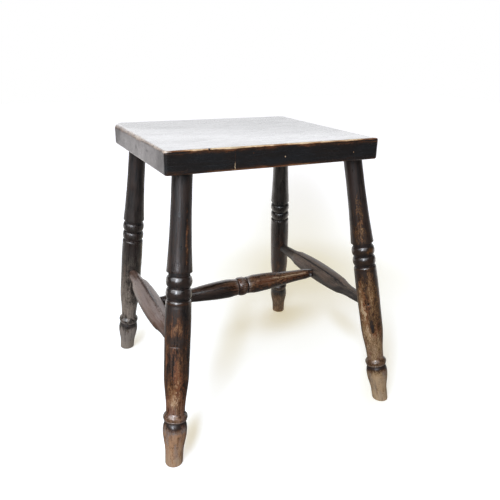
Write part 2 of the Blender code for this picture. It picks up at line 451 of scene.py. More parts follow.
class Wear(NamedTuple):
    """How use has changed a finish at each point of a surface.

    Attributes:
        worn: From zero, unworn, to one, bare wood.
        dust: From zero to one, how grey bare wood has become, from dust and, on some crests and edges, from
            a painted highlight.
        dull: From zero to one, how much of the wax is missing.
        polish: From zero to one, how much hands have polished it.
    """

    worn: Signal
    dust: Signal
    dull: Signal
    polish: Signal | float = 0.0


@dataclass(frozen=True)
class EbonisedWood:
    """Wood stained black and waxed, and rubbed through to its own colours by years of use.

    Attributes:
        name: The material's name.
        stops: Its colours from unworn, at zero, to bare wood, at one.
        tint: Another hue that the unworn finish leans to in places.
        blush: The red-brown of stain that soaked in where the finish is half worn.
        dust: The greyish hue of bare wood that has been walked past and mopped, which also paints pale
            highlights on some crests and edges.
        sand: The same where it is cleaner.
        gloss: Roughness of the waxed finish.
        bare_gloss: Roughness of bare wood.
        wax: Weight of the wax's clear film.
        wax_gloss: Roughness of that film.
        grain_depth: How deep the grain stands, in metres.
        streaks: How strongly its wear follows the grain.
        mottle: How strongly its wear comes and goes in patches.
        flecks: How strongly its wear is speckled.
        uneven_gloss: How strongly its gloss and its wax vary.
        sheen: How strongly it mirrors under the wax, where a half is plain varnish.
        run: How short its patches are along the grain, where one is as short as across it.
        turning_depth: How deep the tool's rings stand on a turned piece, in metres.
    """

    name: str
    stops: Stops = BLACK_STOPS
    tint: Colour = (0.0270, 0.0155, 0.0120)
    blush: Colour = (0.185, 0.056, 0.019)
    dust: Colour = (0.210, 0.168, 0.146)
    sand: Colour = (0.320, 0.192, 0.108)
    gloss: float = 0.38
    bare_gloss: float = 0.46
    wax: float = 0.60
    wax_gloss: float = 0.12
    grain_depth: float = 0.00035
    streaks: float = 0.5
    mottle: float = 1.1
    flecks: float = 0.9
    uneven_gloss: float = 1.0
    sheen: float = 0.5
    run: float = 0.45
    turning_depth: float = 0.00017

    STREAK = Pattern(380.0, 0.045, 4.0, 0.4)
    PORE = Pattern(1300.0, 0.035, 2.0)
    MOTTLE = Pattern(120.0, 1.0, 5.0, 0.3, 0.6)
    FLECK = Pattern(650.0, 0.5, 3.0, 0.0, 0.7)
    HUE = Pattern(70.0, 0.3, 3.0, 0.6)
    TOOL_RINGS = Pattern(1100.0, detail=1.0, across=0.12)
    REFRACTION = 1.45
    POLISH_EVENS = 0.8
    POLISH_SMOOTHS = 0.92
    POLISH_GLOSS = 0.08
    POLISH_WAX = 0.6
    DULL_GLOSS = 0.2
    GLOSS_SWING = 0.6
    WAX_SWING = 1.2
    WAX_LOSS = 0.7
    SMOOTHEST = 0.10
    ROUGHEST = 0.9
    # How high streaks, pores, flecks and patches stand, and how low bare wood lies
    RELIEF = (0.8, 0.6, 0.25, 0.8, -0.4)
    # The spans of wear over which each change sets in or ends
    UNEVEN_IN = (-0.15, 0.45)
    BARE_IN = (0.45, 0.85)
    WAX_OUT = (0.25, 0.75)
    TINT_OUT = (0.10, 0.40)
    BLUSH_IN = (0.35, 0.60)
    BLUSH_OUT = (0.66, 0.92)
    PORES_IN = (0.35, 0.70)
    DUST_IN = (0.30, 0.80)
    # The spans of noise over which each patch ends or sets in
    TINT_PATCH = (0.43, 0.57)
    BLUSH_PATCH = (0.38, 0.56)
    PORE_EDGE = (0.36, 0.50)
    CLEAN_PATCH = (0.60, 0.90)
    # How strong each change is
    BLUSH_SHARE = 0.75
    PORE_SHARE = 0.6
    DUST_SHARE = 0.75
    MOST_DUST = 0.92
    FLECK_DUST = 2.2
    STREAK_DUST = 4.0

    def material(self, frame: Matrix, wear: Callable[[Sheet, NodeSocket], Wear],
                 suffix: str, seed: float) -> Material:
        """Make this finish for one piece.

        Args:
            frame: The piece's own frame, with its grain along Z.
            wear: What gives the piece's wear from its coordinates.
            suffix: The piece's name, which ends the material's.
            seed: A number that gives each piece its own pattern.

        Returns:
            The material.
        """
        material, sheet = new_material(f"{self.name}_{suffix}")
        place = sheet.place(frame)
        grain = sheet.vector_math("ADD", place, (seed, 0.0, seed)).outputs["Vector"]
        streak = sheet.cloud(grain, self.STREAK)
        pore = sheet.cloud(grain, self.PORE)
        mottle = sheet.cloud(grain, self.MOTTLE._replace(along=self.run))
        fleck = sheet.cloud(grain, self.FLECK)
        state = wear(sheet, place)
        uneven = mottle.swing(self.mottle) + streak.swing(self.streaks) + fleck.swing(self.flecks)
        evened = 1.0 - state.polish * self.POLISH_EVENS
        worn = state.worn + uneven * state.worn.rise(*self.UNEVEN_IN) * evened
        bare = worn.rise(*self.BARE_IN)
        unpolished = 1.0 - state.polish * self.POLISH_SMOOTHS
        varied = unpolished * self.uneven_gloss
        gloss = self.gloss - state.polish * self.POLISH_GLOSS + bare * (self.bare_gloss - self.gloss)
        streaky = streak.swing(self.GLOSS_SWING + self.streaks)
        gloss = gloss + (mottle.swing(self.GLOSS_SWING) + streaky) * varied
        wax = 1.0 - worn.rise(*self.WAX_OUT) * unpolished * self.WAX_LOSS
        wax = wax * (1.0 - mottle.swing(self.WAX_SWING) * varied) * (1.0 - state.dull)
        wax = wax * (1.0 + state.polish * self.POLISH_WAX) * self.wax
        layers = zip((streak, pore, fleck, mottle, bare), self.RELIEF)
        relief = sum(layer * height for layer, height in layers) * unpolished
        normal = sheet.bump(relief, self.grain_depth)
        if self.turning_depth:
            normal = sheet.bump(sheet.cloud(place, self.TOOL_RINGS) * unpolished, self.turning_depth, normal)
        values = {
            "Base Color": self._colour(sheet, grain, (streak, pore, fleck), worn, state.dust),
            "Roughness": (gloss + state.dull * self.DULL_GLOSS).within(self.SMOOTHEST, self.ROUGHEST),
            "IOR": self.REFRACTION, "Coat Weight": wax.within(0.0, 1.0), "Coat Roughness": self.wax_gloss,
            "Specular IOR Level": self.sheen, "Normal": normal,
        }
        sheet.show(sheet.node("ShaderNodeBsdfPrincipled", None, values))
        return material

    def _colour(self, sheet: Sheet, place: NodeSocket, noises: tuple[Signal, Signal, Signal],
                worn: Signal, dust: Signal) -> NodeSocket:
        """Colour of the worn finish.

        Args:
            sheet: The material's sheet.
            place: The piece's coordinates.
            noises: The streaks, the pores and the flecks.
            worn: How far it is worn.
            dust: How dusty it is, with its painted highlights.

        Returns:
            The colour's socket.
        """
        streak, pore, fleck = noises
        ramp = sheet.node("ShaderNodeValToRGB", None, {"Fac": worn}, self.stops).outputs["Color"]
        hue = sheet.cloud(place, self.HUE)
        leaning = (hue * 0.5 + streak * 0.5).rise(*self.TINT_PATCH) * worn.fall(*self.TINT_OUT)
        tinted = sheet.blend(leaning, ramp, self.tint)
        red = hue.fall(*self.BLUSH_PATCH) * worn.band(self.BLUSH_IN, self.BLUSH_OUT) * self.BLUSH_SHARE
        blushed = sheet.blend(red, tinted, self.blush)
        filled = pore.fall(*self.PORE_EDGE) * worn.rise(*self.PORES_IN) * self.PORE_SHARE
        deep = sheet.blend(filled, blushed, self.stops[2][1])
        clean = (hue + fleck * 0.5 - dust.rise(1.0, 2.0)).rise(*self.CLEAN_PATCH)
        grey = sheet.blend(clean, self.dust, self.sand)
        specks = fleck.swing(self.flecks) * self.FLECK_DUST + streak.swing(self.streaks) * self.STREAK_DUST
        dusty = dust * worn.rise(*self.DUST_IN) * (specks + self.DUST_SHARE)
        return sheet.blend(dusty.within(0.0, self.MOST_DUST), deep, grey)


@dataclass(frozen=True)
class DullIron:
    """Old iron with a brown bloom.

    Attributes:
        metal: The bare metal's colour.
        bloom: The bloom's colour.
    """

    metal: Colour = (0.34, 0.33, 0.35)
    bloom: Colour = (0.060, 0.045, 0.040)

    SPREAD = Pattern(900.0, detail=4.0)
    PITTING = 0.00005

    def material(self, suffix: str) -> Material:
        """Make this finish for one piece.

        Args:
            suffix: The piece's name, which ends the material's.

        Returns:
            The material.
        """
        material, sheet = new_material(f"dull_iron_{suffix}")
        spread = sheet.cloud(sheet.objects(), self.SPREAD).rise(0.46, 0.62)
        values = {
            "Base Color": sheet.blend(spread, self.metal, self.bloom), "Metallic": 1.0 - spread * 0.8,
            "Roughness": 0.32 + spread * 0.35, "Normal": sheet.bump(spread, self.PITTING),
        }
        sheet.show(sheet.node("ShaderNodeBsdfPrincipled", None, values))
        return material


# Turning


class OutlinePoint(NamedTuple):
    """One point of a turned outline: its distance along the axis, its radius, and how rubbed it is."""

    distance: float
    radius: float
    rub: float


class Outline:
    """The outline of a turned piece, drawn from one end to the other along the lathe's axis."""

    def __init__(self, distance: float, radius: float, rub: float = 0.0) -> None:
        """Start the outline.

        Args:
            distance: Metres along the axis.
            radius: Metres from the axis.
            rub: How rubbed the finish is there; below zero in a groove that kept it.
        """
        self.points = [OutlinePoint(distance, radius, rub)]

    def line(self, distance: float, radius: float, rub: float = 0.0) -> "Outline":
        """Go straight to a point and return the outline."""
        self.points.append(OutlinePoint(distance, radius, rub))
        return self

    def curve(self, distance: float, radius: float, steps: int, shape: Callable[[float], float],
              rub: float = 0.0) -> "Outline":
        """Go to a point along a curve.

        Args:
            distance: Where it ends along the axis.
            radius: The radius there.
            steps: How many points it takes.
            shape: The share of the change in radius at each share of the way.
            rub: How rubbed its end is.

        Returns:
            The outline.
        """
        start = self.points[-1]
        for step in range(1, steps + 1):
            share = step / steps
            self.points.append(OutlinePoint(
                start.distance + (distance - start.distance) * share,
                start.radius + (radius - start.radius) * shape(share),
                start.rub + (rub - start.rub) * share,
            ))
        return self

    def sweep(self, distance: float, radius: float, steps: int, rub: float = 0.0) -> "Outline":
        """Go to a point along an S, level at both ends, and return the outline."""
        return self.curve(distance, radius, steps, lambda share: (1 - math.cos(math.pi * share)) / 2, rub)

    def bow(self, distance: float, radius: float, steps: int, power: float, rub: float = 0.0) -> "Outline":
        """Go to a point along a curve that starts level and steepens, and return the outline."""
        return self.curve(distance, radius, steps, lambda share: share ** power, rub)

    def settle(self, distance: float, radius: float, steps: int, power: float,
               rub: float = 0.0) -> "Outline":
        """Go to a point along a curve that starts steep and levels out, and return the outline."""
        return self.curve(distance, radius, steps, lambda share: 1 - (1 - share) ** power, rub)

    def bead(self, length: float, crest: float, steps: int, rub: float = 0.0) -> "Outline":
        """Go over a round bead, back to the radius that it starts from.

        Args:
            length: Its length along the axis.
            crest: Its greatest radius.
            steps: How many points it takes.
            rub: How rubbed its crest is.

        Returns:
            The outline.
        """
        start = self.points[-1]
        for step in range(1, steps + 1):
            angle = math.pi * step / steps
            height = math.sin(angle)
            self.points.append(OutlinePoint(
                start.distance + length * (1 - math.cos(angle)) / 2,
                start.radius + (crest - start.radius) * height,
                start.rub + (rub - start.rub) * height,
            ))
        return self

    def radius_at(self, distance: float) -> float:
        """Find the outline's radius.

        Args:
            distance: Metres along the axis.

        Returns:
            The radius there.
        """
        for first, second in zip(self.points, self.points[1:]):
            if first.distance <= distance <= second.distance and second.distance > first.distance:
                share = (distance - first.distance) / (second.distance - first.distance)
                return first.radius + (second.radius - first.radius) * share
        return self.points[-1].radius

    def scribe(self, distance: float, width: float, depth: float) -> "Outline":
        """Cut a fine line round the piece, as a maker marks where a joint goes.

        Args:
            distance: Where it is along the axis.
            width: Its width.
            depth: Its depth.

        Returns:
            The outline.
        """
        radius = self.radius_at(distance)
        kept = [point for point in self.points if abs(point.distance - distance) > width]
        rubs = ((-0.5, 0.0, 0.05), (0.0, depth, -0.5), (0.5, 0.0, 0.15))
        cut = [OutlinePoint(distance + width * side, radius - sunk, rub) for side, sunk, rub in rubs]
        self.points = sorted(kept + cut, key=lambda point: point.distance)
        return self

    def mirrored(self) -> "Outline":
        """Carry an outline that is drawn from a piece's middle over to its other half.

        Returns:
            The whole outline; this one is left as it is.
        """
        whole = Outline(0.0, 0.0)
        half = [OutlinePoint(-point.distance, point.radius, point.rub) for point in self.points[:0:-1]]
        whole.points = half + self.points
        return whole


@dataclass(frozen=True)
class Lathe:
    """Turns an outline into a solid, with the slight unevenness of hand work and wear.

    Attributes:
        sides: Faces round the piece.
        wobble: How far the surface strays from true, in metres.
        wobble_scale: How many times a metre it does so.
        dent: How deep its dents go, in metres.
        dent_scale: How many times a metre there may be one.
        dent_from: The height of noise from which there is one.
    """

    sides: int = 72
    wobble: float = 0.00012
    wobble_scale: float = 55.0
    dent: float = 0.00045
    dent_scale: float = 90.0
    dent_from: float = 0.38

    def turn(self, outline: Outline, seed: float) -> BMesh:
        """Spin an outline round the local Z axis.

        Args:
            outline: The outline.
            seed: A number that gives each piece its own unevenness.

        Returns:
            The closed mesh, which carries the outline's rub.
        """
        bm = bmesh.new()
        rub = bm.verts.layers.float.new(RUB)
        verts = []
        ends = (outline.points[0]._replace(radius=0.0), outline.points[-1]._replace(radius=0.0))
        for point in (ends[0], *outline.points, ends[1]):
            vert = bm.verts.new((point.radius, 0.0, point.distance))
            vert[rub] = point.rub
            verts.append(vert)
        edges = [bm.edges.new(pair) for pair in zip(verts, verts[1:])]
        bmesh.ops.spin(bm, geom=verts + edges, cent=(0, 0, 0), axis=(0, 0, 1), angle=math.tau,
                       steps=self.sides, use_merge=True, use_duplicate=False)
        bmesh.ops.remove_doubles(bm, verts=bm.verts[:], dist=MERGE_DISTANCE)
        bmesh.ops.recalc_face_normals(bm, faces=bm.faces[:])
        self._roughen(bm, seed)
        return bm

    def _roughen(self, bm: BMesh, seed: float) -> None:
        """Move each vertex in or out a little.

        Args:
            bm: The turned mesh.
            seed: A number that gives each piece its own unevenness.
        """
        for vert in bm.verts:
            outward = Vector((vert.co.x, vert.co.y, 0.0))
            if outward.length < MERGE_DISTANCE:
                continue
            spot = vert.co + Vector((seed, 0.0, 0.0))
            uneven = noise.noise(spot * self.wobble_scale) * self.wobble
            dent = max(0.0, noise.noise(spot * self.dent_scale) - self.dent_from) * self.dent
            vert.co += outward.normalized() * (uneven - dent)


def quarter_round(share: float) -> float:
    """The share of a drop at each share of the way round an outer corner that it ends."""
    return 1 - math.sqrt(1 - share ** 2)


def quarter_round_out(share: float) -> float:
    """The share of a rise at each share of the way round an outer corner that it starts."""
    return math.sqrt(1 - (1 - share) ** 2)


def lathe_frame(start: Vector, end: Vector, face: Vector) -> Matrix:
    """Place of a turned piece.

    Args:
        start: The point its distances are counted from.
        end: A point further along its axis.
        face: The way that its turn of zero looks, roughly.

    Returns:
        The matrix that puts local Z on the axis and local Y towards the face.
    """
    z_axis = (end - start).normalized()
    y_axis = (face - z_axis * face.dot(z_axis)).normalized()
    matrix = Matrix((y_axis.cross(z_axis), y_axis, z_axis)).transposed().to_4x4()
    matrix.translation = start
    return matrix


def put(name: str, data: ID) -> Object:
    """Put an object in the scene.

    Args:
        name: Its name.
        data: Its mesh, lamp or camera data.

    Returns:
        The object.
    """
    thing = bpy.data.objects.new(name, data)
    bpy.context.scene.collection.objects.link(thing)
    return thing


def add_piece(name: str, bm: BMesh, frame: Matrix, material: Material) -> Object:
    """Put a finished mesh in the scene, with its place in its mesh.

    Args:
        name: The piece's name.
        bm: Its mesh, in its own frame.
        frame: The matrix that takes that frame to the model's.
        material: Its finish.

    Returns:
        The object, at the origin.
    """
    bm.transform(frame)
    mesh = bpy.data.meshes.new(name)
    bm.to_mesh(mesh)
    bm.free()
    mesh.shade_smooth()
    mesh.set_sharp_from_angle(angle=SMOOTH_ANGLE)
    mesh.materials.append(material)
    return put(name, mesh)


def enlist(piece: Object, node: str) -> None:
    """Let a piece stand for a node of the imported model.

    Args:
        piece: The piece.
        node: The node that it replaces.
    """
    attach(piece, BODY)
    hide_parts(node)


def marked(sheet: Sheet, place: NodeSocket, marks: Sequence[Mark], outline: Outline,
           start: Signal) -> Signal:
    """Add a turned piece's marks to its wear.

    Args:
        sheet: The material's sheet.
        place: The piece's coordinates.
        marks: The marks.
        outline: The piece's outline, on which they lie.
        start: The wear without them.

    Returns:
        The wear with them.
    """
    ragged = sheet.cloud(place, Pattern(300.0, 0.5, 5.0, 0.5, 0.65)).swing(3.2)
    worn = start
    for mark in marks:
        turn = math.radians(mark.turn)
        radius = outline.radius_at(mark.distance)
        middle = (radius * math.sin(turn), radius * math.cos(turn), mark.distance)
        reach = sheet.reach(place, middle, (mark.width, radius, mark.length), -turn)
        worn = worn + (reach + ragged).fall(0.45, 1.35) * mark.depth
    return worn


# Seat


class Nick(NamedTuple):
    """A small flaw in a flat face.

    Attributes:
        place: Its middle, in the model's frame.
        size: Half its size along each axis.
        depth: How strong it is.
    """

    place: tuple[float, float, float]
    size: tuple[float, float, float]
    depth: float

    def mask(self, sheet: Sheet) -> Signal:
        """One inside the flaw, and zero outside.

        Args:
            sheet: The material's sheet.

        Returns:
            The mask.
        """
        return sheet.reach(sheet.objects(), self.place, self.size).fall(0.5, 1.2)


def rounded(inset: float, fall: float, radius: float) -> tuple[float, float]:
    """Where a point near an edge goes when the edge is rounded off.

    Args:
        inset: How far in from the side it is.
        fall: How far below the top it is.
        radius: The rounding's radius.

    Returns:
        Its new inset and its new fall.
    """
    reach = Vector((radius - inset, radius - fall))
    if min(reach) <= 0.0 or reach.length <= radius:
        return inset, fall
    reach = reach * (radius / reach.length)
    return radius - reach.x, radius - reach.y


def cut_rows(bm: BMesh, cuts: Sequence[tuple[Vector, Vector]],
             near: Callable[[Vector], bool] = lambda middle: True) -> None:
    """Cut rows of points into a mesh.

    Args:
        bm: The mesh.
        cuts: A point and the normal of each cut's plane.
        near: Whether a face is cut, from its middle.
    """
    for point, normal in cuts:
        faces = [face for face in bm.faces if near(face.calc_center_median())]
        edges = {edge for face in faces for edge in face.edges}
        verts = {vert for face in faces for vert in face.verts}
        bmesh.ops.bisect_plane(bm, geom=[*verts, *edges, *faces], plane_co=point, plane_no=normal)


@dataclass
class PlankSeat:
    """The plank seat, its grain along X; the sockets for its legs are not cut.

    Attributes:
        low: Lowest corner of the plank's box.
        high: Highest corner.
        front_corner: Radius of its two front corners, seen from above.
        back_corner: Radius of its two back corners.
        edge: Radius of its long edges and ends.
        front_round: Radius that the top edge of its left end is worn to at the front.
        back_round: The same at the back.
        right_round: Radius that the edges of its right end are worn to.
        end_uneven: The share by which the left end's rounding varies.
        end_scale: How many times a metre it does so.
        ring_step: Distance between the rings of points along its edges.
        rim: Width of the flat band that keeps each face's shading flat.
        step: Distance between points along a side.
        corner_steps: How many parts a corner's arc has.
        edge_wear: How deep wear bites into its edges.
        finish: Its finish.
        nicks: Scratches that went through its finish, and the gap in its worn front edge.
        dents: Dull dents in its end.
    """

    EDGE_SEGMENTS = 6
    LEVEL = 0.999
    UPRIGHT = 0.001
    LEFT_TURNS = (0, 18, 36, 54, 72)
    BARELY = 0.0001
    SIDE_WEAR = 0.6
    BITE_SCALE = 38.0
    CHIP_SCALE = 140.0
    CHIPS = 0.4
    BITE = 0.35
    SLANT = 0.35

    low: Vector
    high: Vector
    front_corner: float = 0.0050
    back_corner: float = 0.0220
    edge: float = 0.0025
    front_round: float = 0.0030
    back_round: float = 0.0085
    right_round: float = 0.0075
    end_uneven: float = 0.15
    end_scale: float = 30.0
    ring_step: float = 0.0012
    rim: float = 0.0008
    step: float = 0.0060
    corner_steps: int = 8
    edge_wear: float = 0.0004
    finish: EbonisedWood = EbonisedWood(
        "ebonised_seat", SEAT_STOPS,
        tint=(0.0125, 0.0130, 0.0150), dust=(0.50, 0.46, 0.42), sand=(0.62, 0.54, 0.45),
        gloss=0.24, wax=0.95, wax_gloss=0.07, grain_depth=0.00005,
        streaks=0.4, mottle=0.5, flecks=0.2, uneven_gloss=0.3, turning_depth=0.0,
    )
    nicks: Sequence[Nick] = (
        Nick((-0.085, -0.164, 0.4715), (0.0005, 0.004, 0.0074), 1.00),
        Nick((-0.0846, -0.164, 0.4860), (0.0004, 0.004, 0.0090), 0.28),
        Nick((-0.054, -0.164, 0.4890), (0.0010, 0.004, 0.0007), 0.55),
        Nick((0.001, -0.164, 0.4800), (0.0012, 0.004, 0.0014), 0.95),
        Nick((0.131, -0.164, 0.4790), (0.0012, 0.004, 0.0008), 0.80),
        Nick((0.170, -0.164, 0.4985), (0.030, 0.006, 0.0036), -0.36),
        Nick((0.110, -0.164, 0.4990), (0.085, 0.006, 0.0036), -0.13),
        Nick((-0.160, -0.164, 0.4640), (0.046, 0.006, 0.0040), -0.26),
        Nick((0.125, -0.164, 0.4640), (0.080, 0.006, 0.0040), -0.18),
        Nick((-0.126, -0.164, 0.500), (0.0016, 0.004, 0.0030), -0.9),
        Nick((-0.121, -0.164, 0.500), (0.0016, 0.004, 0.0022), 0.5),
        Nick((-0.174, -0.164, 0.4985), (0.024, 0.006, 0.0034), -0.30),
        Nick((-0.099, -0.164, 0.500), (0.026, 0.004, 0.0024), 0.18),
    )
    dents: Sequence[Nick] = (
        Nick((-0.194, -0.007, 0.4812), (0.004, 0.0026, 0.0036), 0.75),
        Nick((-0.194, -0.075, 0.4860), (0.004, 0.0090, 0.0016), 0.35),
    )

    @property
    def centre(self) -> Vector:
        """The middle of the plank's box."""
        return (self.low + self.high) / 2

    @property
    def half(self) -> Vector:
        """Half the size of the plank's box."""
        return (self.high - self.low) / 2

    @property
    def pivot(self) -> Vector:
        """The middle of the back left corner's rounding."""
        return Vector((self.low.x + self.back_corner, self.high.y - self.back_corner, 0.0))

    def plan(self) -> list[Vector]:
        """Draw the seat as it is seen from above.

        Returns:
            Points round it, anticlockwise from its front left corner.
        """
        corners = (
            (-1, -1, self.front_corner, 180), (1, -1, self.front_corner, 270),
            (1, 1, self.back_corner, 0), (-1, 1, self.back_corner, 90),
        )
        points = []
        for side_x, side_y, radius, start in corners:
            middle = Vector((side_x * (self.half.x - radius), side_y * (self.half.y - radius), 0.0))
            for step in range(self.corner_steps + 1):
                angle = math.radians(start + 90 * step / self.corner_steps)
                offset = Vector((math.cos(angle), math.sin(angle), 0.0)) * radius
                points.append(self.centre.xy.to_3d() + middle + offset)
        return points

    def build(self) -> BMesh:
        """Shape the plank, without its sockets.

        Returns:
            The closed mesh, in place.
        """
        bm = bmesh.new()
        face = bm.faces.new([bm.verts.new((point.x, point.y, self.low.z)) for point in self.plan()])
        sides = [edge for edge in face.edges if edge.calc_length() > self.step * 2]
        for edge in sides:
            bmesh.ops.subdivide_edges(bm, edges=[edge], cuts=round(edge.calc_length() / self.step))
        grown = bmesh.ops.extrude_face_region(bm, geom=bm.faces[:])
        raised = [item for item in grown["geom"] if isinstance(item, BMVert)]
        bmesh.ops.translate(bm, verts=raised, vec=(0, 0, self.high.z - self.low.z))
        rims = [edge for edge in bm.edges if edge.verts[0].co.z == edge.verts[1].co.z]
        bmesh.ops.bevel(bm, geom=rims, offset=self.edge, segments=self.EDGE_SEGMENTS, profile=0.5,
                        affect="EDGES", material=-1)
        bmesh.ops.recalc_face_normals(bm, faces=bm.faces[:])
        flats = [face for face in bm.faces if abs(face.normal.z) > self.LEVEL and len(face.verts) > 4]
        bmesh.ops.inset_region(bm, faces=flats, thickness=self.rim, use_even_offset=True)
        sides = [face for face in bm.faces if max(edge.calc_length() for edge in face.edges) > self.half.z
                 and abs(face.normal.z) < self.UPRIGHT]
        bmesh.ops.inset_region(bm, faces=sides, thickness=self.rim, use_even_offset=True)
        self._wear_edges(bm)
        self._round_left_end(bm)
        self._round_right_end(bm)
        return bm

    def _insets(self, radius: float) -> list[float]:
        """How far in from an edge its rows of points lie.

        Args:
            radius: What the edge is to be rounded to; the rows go a little past it.

        Returns:
            The distance of each row.
        """
        first = self.edge + self.rim + self.ring_step
        count = math.ceil((radius + self.ring_step - self.edge - self.rim) / self.ring_step)
        return [first + self.ring_step * number for number in range(count)]

    def _round_left_end(self, bm: BMesh) -> None:
        """Round off the top edge of the left end, more towards the back.

        Args:
            bm: The plank's mesh.
        """
        pivot = self.pivot
        angles = (math.radians(turn) for turn in self.LEFT_TURNS)
        ways = [Vector((-math.cos(angle), math.sin(angle), 0.0)) for angle in angles]
        rings = []
        for inset in self._insets(self.back_round):
            rings.append((Vector((0.0, 0.0, self.high.z - inset)), UP))
            rings.extend((pivot + way * (self.back_corner - inset), way) for way in ways)
        cut_rows(bm, rings)
        spacing = self.step * 2
        rows = [(Vector((0.0, self.low.y + spacing * row, 0.0)), FRONT)
                for row in range(1, round(self.half.y * 2 / spacing))]
        cut_rows(bm, rows, lambda middle: middle.x < self.low.x + self.back_round + self.ring_step)
        for vert in bm.verts:
            if vert.co.x > pivot.x:
                continue
            outward = -RIGHT
            inset = vert.co.x - self.low.x
            if vert.co.y > pivot.y:
                arm = vert.co.xy.to_3d() - pivot
                if arm.length < MERGE_DISTANCE:
                    continue
                outward = arm.normalized()
                inset = self.back_corner - arm.length
            share = (vert.co.y - self.low.y) / (self.high.y - self.low.y)
            radius = self.front_round + (self.back_round - self.front_round) * share
            radius *= max(0.0, -outward.x) * (1 + self.end_uneven * noise.noise(vert.co * self.end_scale))
            fall = self.high.z - vert.co.z
            new_inset, new_fall = rounded(inset, fall, radius)
            vert.co += outward * (inset - new_inset) + UP * (fall - new_fall)

    def _round_right_end(self, bm: BMesh) -> None:
        """Round off the top and bottom edges of the right end.

        Args:
            bm: The plank's mesh.
        """
        rings = []
        for inset in self._insets(self.right_round):
            rings.append((Vector((0.0, 0.0, self.high.z - inset)), UP))
            rings.append((Vector((0.0, 0.0, self.low.z + inset)), UP))
            rings.append((Vector((self.high.x - inset, 0.0, 0.0)), RIGHT))
        cut_rows(bm, rings, lambda middle: middle.x > self.high.x - self.right_round * 2)
        for vert in bm.verts:
            for level, side in ((self.high.z, 1.0), (self.low.z, -1.0)):
                inset = self.high.x - vert.co.x
                fall = (level - vert.co.z) * side
                new_inset, new_fall = rounded(inset, fall, self.right_round)
                vert.co += RIGHT * (inset - new_inset) + UP * ((fall - new_fall) * side)

    def _wear_edges(self, bm: BMesh) -> None:
        """Rub the plank's rounded edges down unevenly, most along the front.

        Args:
            bm: The plank's mesh.
        """
        for vert in bm.verts:
            top = self.high.z - vert.co.z
            bottom = vert.co.z - self.low.z
            depth = min(top, bottom)
            if not self.BARELY < depth < self.edge - self.BARELY:
                continue
            arc = math.sin(math.pi * depth / self.edge)
            front = 1.0 if vert.co.y < self.low.y + self.edge else self.SIDE_WEAR
            chips = self.CHIPS * noise.noise(vert.co * self.CHIP_SCALE)
            uneven = max(0.0, self.BITE + noise.noise(vert.co * self.BITE_SCALE) + chips)
            inward = (self.centre - vert.co).normalized()
            inward.z = -self.SLANT if top < bottom else self.SLANT
            vert.co += inward * (arc * front * uneven * self.edge_wear)

    def wear(self, sheet: Sheet, place: NodeSocket) -> Wear:
        """How the seat is worn: its arrises most, its front arris to bare wood.

        Args:
            sheet: The material's sheet.
            place: Coordinates with the grain along Z, across it along X, and up along Y.

        Returns:
            Its wear.
        """
        across, height, along = sheet.parts(place)
        half = self.half
        top = (half.z - height).highest(0.0)
        bottom = (height + half.z).highest(0.0)
        front = (across + half.y).highest(0.0)
        back = (half.y - across).highest(0.0)
        left = (along + half.x).highest(0.0)
        right = (half.x - along).highest(0.0)
        wander = sheet.cloud(place, Pattern(90.0, 0.4, 4.0, 0.3))
        worn = sheet.cloud(place, Pattern(22.0, 0.3, 3.0, 0.4)).swing(0.5) + 0.10
        # Each arris: the two faces that meet in it, how wide it is rubbed, and how far
        arrises = (
            (top, front, 0.0019, 0.62), (top, front, 0.0062, 0.34), (bottom, front, 0.0022, 0.34),
            (bottom, front, 0.0060, 0.22), (bottom, left, 0.0018, 0.40), (top, right, 0.0018, 0.25),
            (bottom, right, 0.0018, 0.30), (top, back, 0.0022, 0.60), (bottom, back, 0.0024, 0.35),
            (left, front, 0.0014, 0.12), (right, front, 0.0014, 0.20),
        )
        for first, second, width, depth in arrises:
            distance = (first * first + second * second).root() / width
            worn = worn + (distance + wander.swing(1.8)).fall(0.45, 1.7) * depth
        # The left end's top edge is rubbed wider and less far towards the back, where it is rounder
        width = front.rise(0.0, half.y * 2) * 0.0045 + 0.0030
        depth = 0.54 - front.rise(0.12, 0.33) * 0.24
        worn = worn + ((top + left) / width + wander.swing(0.6)).fall(0.45, 1.60) * depth
        for nick in self.nicks:
            worn = worn + nick.mask(sheet) * nick.depth
        ends = left.lowest(right).fall(0.0005, 0.0025)
        smears = sheet.cloud(place, Pattern(30.0, 0.25, 3.0, 0.5)).rise(0.45, 0.70)
        patches = sheet.cloud(place, Pattern(24.0, shift=0.4)).swing(0.7)
        corners = front.fall(0.0, 0.12) * 0.30 + back.fall(0.0, 0.16) * 0.36
        dull = ends * (patches + 0.50 + corners) + smears * 0.14
        for dent in self.dents:
            dull = dull + dent.mask(sheet) * dent.depth
        # A pale grey band along the left end's top edge: partly dust, partly a painted reflection of the
        # bright room in its rounding
        grey = left.fall(0.006, 0.012) * top.fall(0.0030, 0.0085) * 1.15
        return Wear(worn, grey, dull.within(0.0, 1.0))

    def dress(self, bm: BMesh) -> Object:
        """Finish the plank and let it stand for its node.

        Args:
            bm: The plank's mesh.

        Returns:
            The piece.
        """
        grain = Matrix(((0, 0, 1), (1, 0, 0), (0, 1, 0))).to_4x4()
        grain.translation = self.centre
        material = self.finish.material(grain, self.wear, "plank", 0.0)
        piece = add_piece("plank_seat", bm, Matrix.Identity(4), material)
        enlist(piece, "seat_plank")
        return piece


# Legs


@dataclass(frozen=True)
class LegAge:
    """What years of use have done to one leg.

    Attributes:
        finish: Its finish.
        marks: The worn and the spared spots on it.
        worn: How worn it is beside the others.
        dusty: How dusty its foot is.
        rim_rub: How rubbed the rim of its shaft is; a strong rub also greys it as a painted highlight.
        dust_drop: How far down it the dust starts.
        foot_wear: How worn its foot is.
        polish: How much hands have polished its beads and ring, which also sets the painted sheen that greys
            its ring.
        top_dull: How dull it is above its beads.
    """

    finish: EbonisedWood
    marks: Sequence[Mark]
    worn: float
    dusty: float
    rim_rub: float
    dust_drop: float
    foot_wear: float
    polish: float
    top_dull: float = 0.0


